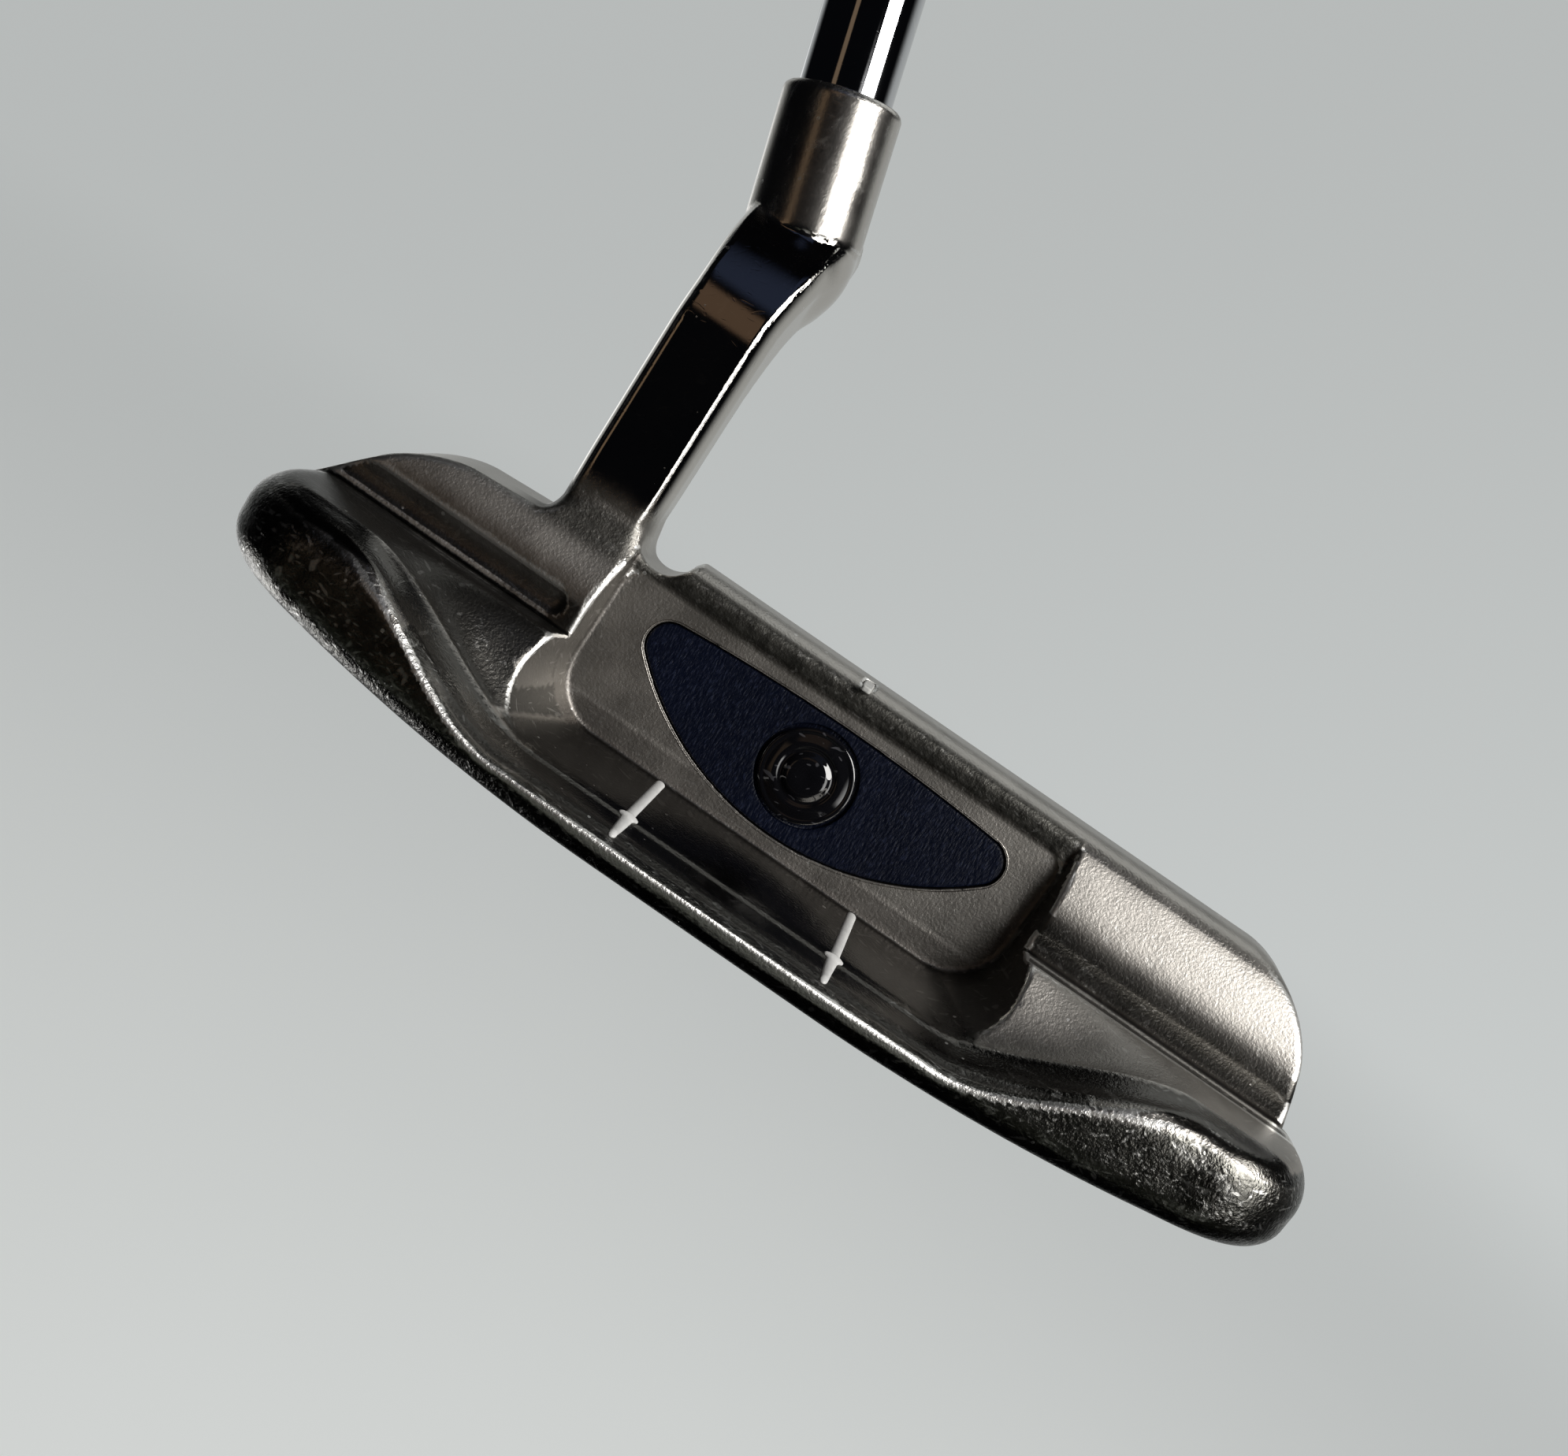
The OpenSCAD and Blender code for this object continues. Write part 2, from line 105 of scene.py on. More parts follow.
# ---------------------------------------------------------------- implicit shapes
def round_max(a, b, r):
    """Intersection of two fields with a convex edge of radius r."""
    return np.minimum(np.maximum(a, b), -r) + np.hypot(np.maximum(a + r, 0), np.maximum(b + r, 0))


def round_min(a, b, r):
    """Union of two fields with a concave fillet of radius r."""
    return -round_max(-a, -b, r)


def ease(t):
    """Smooth step from 0 to 1."""
    t = np.clip(t, 0.0, 1.0)
    return t * t * (3 - 2 * t)


def wall_y(z):
    """Depth of the cavity's back wall at a height."""
    return 6.4 - (CAVITY_TOP - z) * math.tan(WALL_TILT)


def band_upper(x):
    """Height of the S-shaped band's upper edge along the head."""
    return 5.48 + (SHELF_H - 5.48) * ease((np.abs(x) - 21) / 25)


def lip_y(x):
    """Depth of the band's lower edge along the head."""
    return -10.9 + 0.6 * ease((np.abs(x) - 20) / 26)


def lip_z(x):
    """Height of the band's lower edge along the head."""
    return 4.85 + 8.6 * ease((np.abs(x) - 22.5) / 24.5)


def rear_top(x, y):
    """Height of the upward surfaces behind the wall: shelves, S-shaped band, step and bumper top."""
    upper = band_upper(x)
    low_y = lip_y(x)
    low_z = lip_z(x)
    side = ease((np.abs(x) - 24) / 12)
    shelf = SHELF_H + (upper - SHELF_H) * ease((0.2 - y) / (0.2 - RIDGE_Y))
    along = np.clip((RIDGE_Y - y) / (RIDGE_Y - low_y), 0, 1.6)
    drop = 0.2 * (1 - 0.8 * side) * ease((RIDGE_Y - y) / 0.8)
    channel = (0.1 + 0.08 * side) * np.maximum(1 - (2 * np.clip(along, 0, 1) - 1) ** 2, 0)
    band = upper + (low_z - upper) * along - channel - drop * (1 - along)
    step = 0.16 * (1 - side) * ease((low_y - y) / 0.5)
    return np.where(y > RIDGE_Y, shelf, band - step)


def leaf_field(u, v):
    """Distance to the leaf-shaped outline on the cavity's back wall."""
    round_r = 2.4
    low_r, high_r = 28.8 - round_r, 200 - round_r
    low_c, high_c = 8.1 + 28.8, 20.9 - 200
    apart = low_c - high_c
    rise = (high_r ** 2 - low_r ** 2 + apart ** 2) / (2 * apart)
    tip_u, tip_v = math.sqrt(high_r ** 2 - rise ** 2), high_c + rise
    a = np.abs(u - 0.2)
    low = np.hypot(a, v - low_c) - low_r
    high = np.hypot(a, v - high_c) - high_r
    past_low = tip_u * (v - low_c) - (tip_v - low_c) * a > 0
    past_high = tip_u * (v - high_c) - (tip_v - high_c) * a < 0
    tip = np.hypot(a - tip_u, v - tip_v)
    return np.where(past_low & past_high, tip, np.maximum(low, high)) - round_r


def wall_frame(y, z):
    """Height along the back wall and distance out of it."""
    dy, dz = y - wall_y(FLOOR_H), z - FLOOR_H
    c, s = math.cos(WALL_TILT), math.sin(WALL_TILT)
    return FLOOR_H + dy * s + dz * c, -dy * c + dz * s


def wall_point(u, v, n):
    """Inverse of wall_frame."""
    c, s = math.cos(WALL_TILT), math.sin(WALL_TILT)
    dv = v - FLOOR_H
    return u, wall_y(FLOOR_H) + dv * s - n * c, FLOOR_H + dv * c + n * s


def shaft_frame(x, y, z):
    """Distances from the shaft's axis, towards the grip's flat and across it, and along it from the ground."""
    c, s = math.cos(LIE), math.sin(LIE)
    dx = x - FOOT[0]
    return dx * s + z * c, y - FOOT[1], z * s - dx * c


def shaft_point(p, q, s):
    """Inverse of shaft_frame."""
    c, n = math.cos(LIE), math.sin(LIE)
    return FOOT[0] + p * n - s * c, FOOT[1] + q, p * c + s * n


def neck_field(x, y, z):
    """Upright post that swings forward under the hosel, with the collar and its bore."""
    p, q, s = shaft_frame(x, y, z)
    back = np.where(z > 43, np.hypot(y - 23.3, z - 43) - 17.3, NECK_BACK_Y - y)
    back = np.where((z > 43) & (y > 23.3), -17.3, back)
    front = np.where(z > 38, 14 - np.hypot(y - 26.4, z - 38), y - 12.4)
    depth = np.maximum(-back, 0)
    half = 4.8 + 0.75 * ease((z - 47) / 10) - 0.15 * ease((30 - z) / 8)
    side = np.abs(x - NECK_X - 0.12 * ease((z - 47) / 10)) - half
    bevel = (side + np.maximum(1.15 - depth * 0.62, -0.6)) * 0.85
    nose = np.where(y > 17.3, np.hypot(y - 17.3, np.minimum(z - 54.3, 0)) - 5.6, -5.6)
    post = round_max(back, bevel, 0.3)
    post = round_max(post, nose, 0.8)
    post = round_max(post, side, 0.8)
    post = round_max(post, front, 1.0)
    post = round_max(post, s - (HOSEL_LOW_S + 1.6), 0.3)
    ball = np.sqrt((x + 29.7) ** 2 + (y - 17.5) ** 2 + (z - 54.4) ** 2) - 5.5
    post = round_min(post, ball, 1.5)
    post = np.maximum(post, s - (HOSEL_LOW_S + 2.5))
    post = np.maximum(post, 16 - z)
    r = np.hypot(p, q)
    collar = round_max(round_max(r - HOSEL_R, s - HOSEL_TOP_S, 0.9), HOSEL_LOW_S - s, 0.5)
    return post, collar, np.maximum(r - 4.8, TIP_S - s)


def head_field(x, y, z):
    """Signed distance, roughly, to the whole casting; negative inside."""
    ax = np.abs(x)
    sag, lift = np.maximum(ax - 12, 0), np.maximum(-3 - y, 0)
    sag = np.where(x > 0, 0.93, 1.0) * sag
    sole = (sag ** 2 / 374 + lift ** 2 / 54 - z) / np.sqrt(1 + (sag / 187) ** 2 + (lift / 27) ** 2)
    sole = round_max(sole, -z, 0.02)
    face = (y - HALF_DEPTH + z * math.tan(LOFT)) * math.cos(LOFT)
    reach = np.where(x > 0, TOE_REACH, HEEL_REACH)
    end = ax - reach + 3.2 * np.clip((y + 4) / 19, 0, 1.1) ** 2
    yy = y - 2.4 * np.minimum(ax / 46, 1) ** 2
    plan_end = round_max(-(yy + HALF_DEPTH), end, 11)
    end_cap = round_max(plan_end, z - 14.0, 4.7)

    # bumper, shelves and S-shaped band
    side = ease((ax - 24) / 12)
    back = np.where(z > BUMPER_Z, np.hypot(np.minimum(y + 1, 0), z - BUMPER_Z) - BUMPER_R, -(y + HALF_DEPTH))
    back = round_max(back, -(yy + HALF_DEPTH) - 0.15, 0.5)
    back = back + 0.5 * side * ease((z - lip_z(x) + 1.0) / 0.5)
    e = 0.05
    top = rear_top(x, y)
    slope_x = (rear_top(x + e, y) - top) / e
    slope_y = (rear_top(x, y + e) - top) / e
    top = (z - top) / np.sqrt(1 + slope_x ** 2 + slope_y ** 2)
    low = round_max(top, back, 0.4 - 0.15 * side)
    low = round_max(low, end_cap, 0.5)

    # weights: toe and heel outlines and the convex back wall
    top_h = HEEL_H + 0.06 * (np.minimum(x, -35) + 40) + 3.6 * ease((x + 36) / 5)
    toe = round_max(z - TOPLINE_H, (x - 54.9) * 0.944 + (z - 15.6) * 0.330, 6.8)
    heel = round_max(z - top_h, -(x + 54.2) * 0.714 + (z - 14.2) * 0.700, 3.3)
    outline = np.where(x > 0, toe, np.maximum(heel, z - TOPLINE_H))
    arc = np.where(z > 16.2, np.hypot(y - 13.63, z - 16.2) - 11, 2.63 - y)
    arc = np.where((z > 16.2) & (y > 13.63), -11, arc)
    rear = round_max(arc, -(y - 4.96) * 0.882 + (z - 22.97) * 0.471, 0.6)
    weights = round_max(outline, rear, 0.75)
    weights = round_max(weights, plan_end, 1.5)

    # cavity: a drafted, round-cornered opening behind the back wall
    v, n = wall_frame(y, z)
    fall_z = FLOOR_H + (z - FLOOR_H) * math.cos(WALL_TILT) - (y - wall_y(FLOOR_H)) * math.sin(WALL_TILT)
    half = 25.2 + 0.27 * np.maximum(n, 0)
    du, dv = ax - (half - 6), FLOOR_H + 6 - fall_z
    low_part = np.hypot(np.maximum(du, 0), np.maximum(dv, 0)) + np.minimum(np.maximum(du, dv), 0) - 6
    du, dv = ax - (half - 2.8), v - (CAVITY_TOP - 2.8)
    high_part = np.hypot(np.maximum(du, 0), np.maximum(dv, 0)) + np.minimum(np.maximum(du, dv), 0) - 2.8
    void = round_max(np.maximum(low_part, high_part), -n, 0.4)
    open_y = np.where(z < CAVITY_TOP, wall_y(z) - 0.16 - 0.5 * ease((CAVITY_TOP - z) / 3),
                      6.24 - 0.09 * (z - CAVITY_TOP))
    above = np.maximum(np.maximum(y - open_y, ax - half - 0.15), 20.0 - z)
    void = np.minimum(void, round_max(above, low_part, 0.2))
    weights = round_max(weights, -void, 0.4)
    low = round_max(low, -void, 0.25) + 3 * ease(y - 2.6) * ease((z - 9) / 2)
    solid = round_min(weights, low, 0.02 + 0.48 * ease((2.4 - y) / 0.6))
    # cove between wall and shelf, with a rounded end short of the heel side of the cavity
    past = np.maximum(x - COVE_END_X, 0) * (x < 0)
    cove_y, cove_z, cove_r = (np.where(x < 0, a, b) for a, b in zip(COVE_HEEL, COVE_TOE))
    cove = np.sqrt((y - cove_y) ** 2 + (z - cove_z) ** 2 + past ** 2) - cove_r
    solid = round_max(solid, -cove, 0.22)
    solid = round_max(solid, face, FACE_EDGE_R)
    solid = round_max(solid, sole, SOLE_EDGE_R)

    # neck, collar and the dip in the topline beside the neck
    dip = np.hypot(x + 23.2, z - TOPLINE_H - 0.35) - 3.0
    solid = round_max(solid, -dip, 0.5)
    post, collar, bore = neck_field(x, y, z)
    solid = round_min(solid, post, 1.8)
    solid = round_min(solid, collar, 0.25)
    solid = np.maximum(solid, -bore)

    # pockets for the badge, the face insert and the topline mark
    pocket = np.maximum(leaf_field(x, v) - 0.12, -(n + 1.3))
    solid = np.maximum(solid, -np.maximum(pocket, n - 3))
    out = (y - HALF_DEPTH) * math.cos(LOFT) + z * math.sin(LOFT)
    up = -(y - HALF_DEPTH) * math.sin(LOFT) + z * math.cos(LOFT)
    stadium = np.hypot(np.maximum(ax - 28.5, 0), up - 12.6) - 7.6
    solid = np.maximum(solid, -np.maximum(stadium, -(out + 3.6)))
    notch = np.maximum(np.maximum(ax - 0.5, 25.05 - z), np.abs(y - 7.2) - 1.9)
    return np.maximum(solid, -notch)


# ---------------------------------------------------------------- meshes from fields
def sample(field, points, chunk=60000):
    """Evaluates a field at points, in chunks on several threads."""
    parts = [points[i:i + chunk] for i in range(0, len(points), chunk)]
    with concurrent.futures.ThreadPoolExecutor(4) as pool:
        done = list(pool.map(lambda p: field(p[:, 0], p[:, 1], p[:, 2]), parts))
    return np.concatenate(done) if done else np.zeros(0)


TETRA = np.array([(1, -1, -1), (-1, -1, 1), (-1, 1, -1), (1, 1, 1)], float)


def slope(field, points, h):
    """Unit gradient of a field at points."""
    g = sum(k * sample(field, points + h * k)[:, None] for k in TETRA)
    return g / np.maximum(np.linalg.norm(g, axis=1, keepdims=True), 1e-9)


def grid_points(index, low, step):
    return low + np.stack(index, 1) * step


def contour(field, low, high, step):
    """Closed quad mesh of a field's zero surface, by dual contouring on a sparse grid."""
    block = 4
    low = np.array(low, float)
    count = (np.ceil((np.array(high) - low) / (step * block)).astype(int) + 2)
    coarse = sample(field, grid_points(np.indices(count).reshape(3, -1), low, step * block)).reshape(count)
    near = np.abs(coarse) < step * block * 1.9
    active = near.copy()
    for axis in range(3):
        for shift in (-1, 1):
            active |= np.roll(near, shift, axis)
    for axis in range(3):
        active |= np.roll(active, 1, axis)
    values = coarse
    for axis in range(3):
        values = np.repeat(values, block, axis)
        active = np.repeat(active, block, axis)
    index = np.nonzero(active)
    values[index] = sample(field, grid_points(index, low, step))
    size = values.shape
    strides = np.array([size[1] * size[2], size[2], 1])
    hits, normals, cells, quads = [], [], [], []
    for axis in range(3):
        first = np.take(values, range(size[axis] - 1), axis)
        second = np.take(values, range(1, size[axis]), axis)
        crossing = np.nonzero((first < 0) != (second < 0))
        f0, f1 = first[crossing], second[crossing]
        start = grid_points(crossing, low, step)
        unit = np.zeros(3)
        unit[axis] = step
        t = f0 / (f0 - f1)
        for _ in range(2):
            f = sample(field, start + t[:, None] * unit)
            t = np.clip(t - f / (f1 - f0), 0, 1)
        hit = start + t[:, None] * unit
        a, b = strides[(axis + 1) % 3], strides[(axis + 2) % 3]
        base = np.stack(crossing, 1) @ strides
        ring = np.stack([base - a - b, base - b, base, base - a], 1)
        hits.append(hit)
        cells.append(ring)
        quads.append(np.where((f0 < 0)[:, None], ring, ring[:, ::-1]))
    hits, cells, quads = np.concatenate(hits), np.concatenate(cells), np.concatenate(quads)
    normals = slope(field, hits, step * 0.12)
    names, cell = np.unique(cells.ravel(), return_inverse=True)
    edge = np.repeat(np.arange(len(hits)), 4)
    total = len(names)

    def gather(weights):
        return np.bincount(cell, weights[edge], total)

    number = np.bincount(cell, minlength=total).astype(float)
    mean = np.stack([gather(hits[:, i]) for i in range(3)], 1) / number[:, None]
    matrix = np.empty((total, 3, 3))
    for i in range(3):
        for j in range(i, 3):
            matrix[:, i, j] = matrix[:, j, i] = gather(normals[:, i] * normals[:, j])
    along = np.einsum("ij,ij->i", normals, hits)
    right = np.stack([gather(normals[:, i] * along) for i in range(3)], 1)
    right -= np.einsum("nij,nj->ni", matrix, mean)
    matrix += np.eye(3) * (0.04 * number)[:, None, None]
    move = np.linalg.solve(matrix, right[:, :, None])[:, :, 0]
    corner = low + np.stack(np.unravel_index(names, size), 1) * step
    points = np.clip(mean + move, corner - 0.1 * step, corner + 1.1 * step)
    faces = np.searchsorted(names, quads)
    return points, faces


def mesh_piece(name, points, faces, normals=None, attributes=None):
    """Makes an object at the origin from points in millimetres."""
    mesh = bpy.data.meshes.new(name)
    mesh.from_pydata((np.asarray(points) * MM).tolist(), [], faces if isinstance(faces, list) else faces.tolist())
    mesh.update()
    for key, data in (attributes or {}).items():
        mesh.attributes.new(key, "FLOAT", "POINT").data.foreach_set("value", np.asarray(data, np.float32))
    mesh.shade_smooth()
    if normals is not None:
        mesh.normals_split_custom_set_from_vertices(normals.tolist())
    piece = bpy.data.objects.new(name, mesh)
    bpy.context.scene.collection.objects.link(piece)
    return piece


def field_piece(name, field, low, high, step, place=None, attributes=None, shade=None):
    """Piece from a field; place maps the field's coordinates to the CAD's, and shade corrects its normals."""
    points, faces = contour(field, low, high, step)
    normals = slope(field, points, step * 0.3)
    if shade:
        normals = shade(points, normals)
    data = attributes(points, normals) if attributes else None
    if place:
        moved = np.stack(place(*points.T), 1)
        ends = np.stack(place(*(points + normals).T), 1)
        normals = ends - moved
        points = moved
    return mesh_piece(name, points, faces, normals, data)


def lathe(profile, segments, place):
    """Closed turned surface from (radius, height) pairs that start and end on the axis."""
    inner = profile[1:-1]
    angle = np.arange(segments) * 2 * math.pi / segments
    points = [(0, 0, profile[0][1])]
    for r, h in inner:
        points += [(r * math.cos(a), r * math.sin(a), h) for a in angle]
    points.append((0, 0, profile[-1][1]))
    faces = []
    last = len(points) - 1
    for i in range(segments):
        j = (i + 1) % segments
        faces.append((0, 1 + j, 1 + i))
        for k in range(len(inner) - 1):
            a, b = 1 + k * segments, 1 + (k + 1) * segments
            faces.append((a + i, a + j, b + j, b + i))
        b = 1 + (len(inner) - 1) * segments
        faces.append((b + i, b + j, last))
    points = np.array(points)
    return np.stack(place(*points.T), 1), faces


def finish_piece(piece, slot, *replaced):
    """Tells the frame which body a piece rides and the nodes it replaces; slot is not used."""
    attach(piece, "root")
    for node in replaced:
        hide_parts(node)
    return piece


def set_material(piece, material):
    piece.data.materials.clear()
    piece.data.materials.append(material)


# ---------------------------------------------------------------- node helpers
def link(tree, source, target):
    tree.links.new(source, target)


def node(tree, kind, **values):
    """Adds a node and sets its attributes."""
    made = tree.nodes.new(kind)
    for key, value in values.items():
        setattr(made, key, value)
    return made


def feed(tree, target, value):
    """Links a socket, or sets a constant."""
    if isinstance(value, bpy.types.NodeSocket):
        link(tree, value, target)
    else:
        target.default_value = value


def math_node(tree, operation, *values, clamp=False):
    made = node(tree, "ShaderNodeMath", operation=operation, use_clamp=clamp)
    for socket, value in zip(made.inputs, values):
        feed(tree, socket, value)
    return made.outputs[0]


def map_range(tree, value, low, high, out_low=0.0, out_high=1.0, smooth=True):
    made = node(tree, "ShaderNodeMapRange", interpolation_type="SMOOTHSTEP" if smooth else "LINEAR")
    for socket, item in zip(made.inputs, (value, low, high, out_low, out_high)):
        feed(tree, socket, item)
    return made.outputs[0]


def mix_colour(tree, factor, a, b, blend="MIX"):
    made = node(tree, "ShaderNodeMix", data_type="RGBA", blend_type=blend)
    feed(tree, made.inputs[0], factor)
    feed(tree, made.inputs[6], a)
    feed(tree, made.inputs[7], b)
    return made.outputs[2]


def mix_value(tree, factor, a, b):
    made = node(tree, "ShaderNodeMix", data_type="FLOAT")
    feed(tree, made.inputs[0], factor)
    feed(tree, made.inputs[2], a)
    feed(tree, made.inputs[3], b)
    return made.outputs[0]


def noise(tree, vector, scale, detail=3.0, rough=0.55, distort=0.0):
    made = node(tree, "ShaderNodeTexNoise")
    link(tree, vector, made.inputs["Vector"])
    for key, value in (("Scale", scale), ("Detail", detail), ("Roughness", rough), ("Distortion", distort)):
        feed(tree, made.inputs[key], value)
    return made.outputs[0]


def object_coordinates(tree, scale=(1, 1, 1), turn=(0, 0, 0)):
    place = node(tree, "ShaderNodeTexCoord")
    mapping = node(tree, "ShaderNodeMapping")
    mapping.inputs["Scale"].default_value = scale
    mapping.inputs["Rotation"].default_value = turn
    link(tree, place.outputs["Object"], mapping.inputs["Vector"])
    return mapping.outputs[0]


def attribute(tree, name):
    return node(tree, "ShaderNodeAttribute", attribute_name=name).outputs["Fac"]


def rgba(colour):
    return (*colour[:3], 1.0)


def new_group(name, inputs, outputs):
    """Shader node group with named inputs and outputs."""
    tree = bpy.data.node_groups.new(name, "ShaderNodeTree")
    for key, kind, default in inputs:
        socket = tree.interface.new_socket(key, in_out="INPUT", socket_type=kind)
        if default is not None:
            socket.default_value = default
    for key, kind in outputs:
        tree.interface.new_socket(key, in_out="OUTPUT", socket_type=kind)
    return tree, tree.nodes.new("NodeGroupInput").outputs, tree.nodes.new("NodeGroupOutput").inputs


def place_group(tree, name, **values):
    made = tree.nodes.new("ShaderNodeGroup")
    made.node_tree = bpy.data.node_groups[name]
    for key, value in values.items():
        feed(tree, made.inputs[key.replace("_", " ")], value)
    return made.outputs


def build_groups():
    """Effects that several finishes share."""
    if "Fine grain" in bpy.data.node_groups:
        return
    # Fine grain: two sizes of noise as a height, and a slow mottling
    tree, inputs, outputs = new_group("Fine grain", [
        ("Vector", "NodeSocketVector", None), ("Size", "NodeSocketFloat", 0.2), ("Mottle size", "NodeSocketFloat", 4.0),
    ], [("Height", "NodeSocketFloat"), ("Mottle", "NodeSocketFloat")])
    scale = math_node(tree, "DIVIDE", 1000.0, inputs["Size"])
    fine = noise(tree, inputs["Vector"], scale, 2.0, 0.6)
    slow = noise(tree, inputs["Vector"], math_node(tree, "DIVIDE", 1000.0, inputs["Mottle size"]), 4.0, 0.6)
    link(tree, fine, outputs["Height"])
    link(tree, map_range(tree, slow, 0.3, 0.7), outputs["Mottle"])

    # Scratches: long thin cells of two turned and stretched patterns
    tree, inputs, outputs = new_group("Scratches", [
        ("Vector", "NodeSocketVector", None), ("Density", "NodeSocketFloat", 0.5), ("Length", "NodeSocketFloat", 3.0),
    ], [("Mask", "NodeSocketFloat")])
    found = None
    for turn, offset in ((0.35, 0.0), (-0.6, 3.1), (1.35, 7.7), (2.2, 11.3)):
        rotate = node(tree, "ShaderNodeVectorRotate", rotation_type="EULER_XYZ")
        link(tree, inputs["Vector"], rotate.inputs["Vector"])
        rotate.inputs["Rotation"].default_value = (turn * 0.6, turn, turn * 1.3)
        stretch = node(tree, "ShaderNodeVectorMath", operation="MULTIPLY")
        link(tree, rotate.outputs[0], stretch.inputs[0])
        across = node(tree, "ShaderNodeCombineXYZ")
        feed(tree, across.inputs[0], math_node(tree, "DIVIDE", 1000.0, inputs["Length"]))
        across.inputs[1].default_value = 2600.0
        across.inputs[2].default_value = 900.0
        link(tree, across.outputs[0], stretch.inputs[1])
        shift = node(tree, "ShaderNodeVectorMath", operation="ADD")
        link(tree, stretch.outputs[0], shift.inputs[0])
        shift.inputs[1].default_value = (offset, offset * 2, offset * 3)
        lines = noise(tree, shift.outputs[0], 1.0, 0.0, 0.5)
        start = math_node(tree, "SUBTRACT", 0.80, math_node(tree, "MULTIPLY", inputs["Density"], 0.16))
        gate = map_range(tree, lines, start, 0.82)
        found = gate if found is None else math_node(tree, "MAXIMUM", found, gate)
    link(tree, found, outputs["Mask"])

    # Edge wear: an edge attribute broken up by noise
    tree, inputs, outputs = new_group("Edge wear", [
        ("Vector", "NodeSocketVector", None), ("Edge", "NodeSocketFloat", 0.0), ("Raggedness", "NodeSocketFloat", 0.5),
        ("Size", "NodeSocketFloat", 0.6),
    ], [("Mask", "NodeSocketFloat")])
    ragged = noise(tree, inputs["Vector"], math_node(tree, "DIVIDE", 1000.0, inputs["Size"]), 4.0, 0.65)
    slow = noise(tree, inputs["Vector"], 140.0, 2.0, 0.5)
    ragged = math_node(tree, "MULTIPLY", math_node(tree, "SUBTRACT", ragged, 0.5), 1.4)
    slow = math_node(tree, "MULTIPLY", math_node(tree, "SUBTRACT", slow, 0.5), 1.6)
    shifted = math_node(tree, "ADD", ragged, slow)
    total = math_node(tree, "ADD", inputs["Edge"], math_node(tree, "MULTIPLY", shifted, inputs["Raggedness"]))
    masked = math_node(tree, "MULTIPLY", map_range(tree, total, 0.35, 0.75), map_range(tree, inputs["Edge"], 0.04, 0.2))
    link(tree, masked, outputs["Mask"])

    # Specks: sparse dots
    tree, inputs, outputs = new_group("Specks", [
        ("Vector", "NodeSocketVector", None), ("Spacing", "NodeSocketFloat", 1.5), ("Amount", "NodeSocketFloat", 0.1),
    ], [("Mask", "NodeSocketFloat")])
    cells = node(tree, "ShaderNodeTexVoronoi", feature="F1")
    link(tree, inputs["Vector"], cells.inputs["Vector"])
    feed(tree, cells.inputs["Scale"], math_node(tree, "DIVIDE", 1000.0, inputs["Spacing"]))
    size = node(tree, "ShaderNodeSeparateColor")
    link(tree, cells.outputs["Color"], size.inputs[0])
    radius = math_node(tree, "MULTIPLY", math_node(tree, "POWER", size.outputs[0], 3.0), inputs["Amount"])
    near = math_node(tree, "LESS_THAN", cells.outputs["Distance"], radius)
    link(tree, near, outputs["Mask"])


def new_material(name, metallic=0.0, **constants):
    """Material with a Principled shader; constants go straight onto its sockets."""
    build_groups()
    material = bpy.data.materials.new(name)
    material.use_nodes = True
    tree = material.node_tree
    shader = tree.nodes["Principled BSDF"]
    shader.inputs["Metallic"].default_value = metallic
    for key, value in constants.items():
        shader.inputs[key.replace("_", " ")].default_value = value
    return material, tree, shader


def set_roughness(tree, shader, mottle, low, high):
    link(tree, map_range(tree, mottle, 0, 1, low, high), shader.inputs["Roughness"])


def bump(tree, shader, height, distance, strength=1.0):
    made = node(tree, "ShaderNodeBump")
    feed(tree, made.inputs["Height"], height)
    made.inputs["Distance"].default_value = distance
    made.inputs["Strength"].default_value = strength
    link(tree, made.outputs[0], shader.inputs["Normal"])


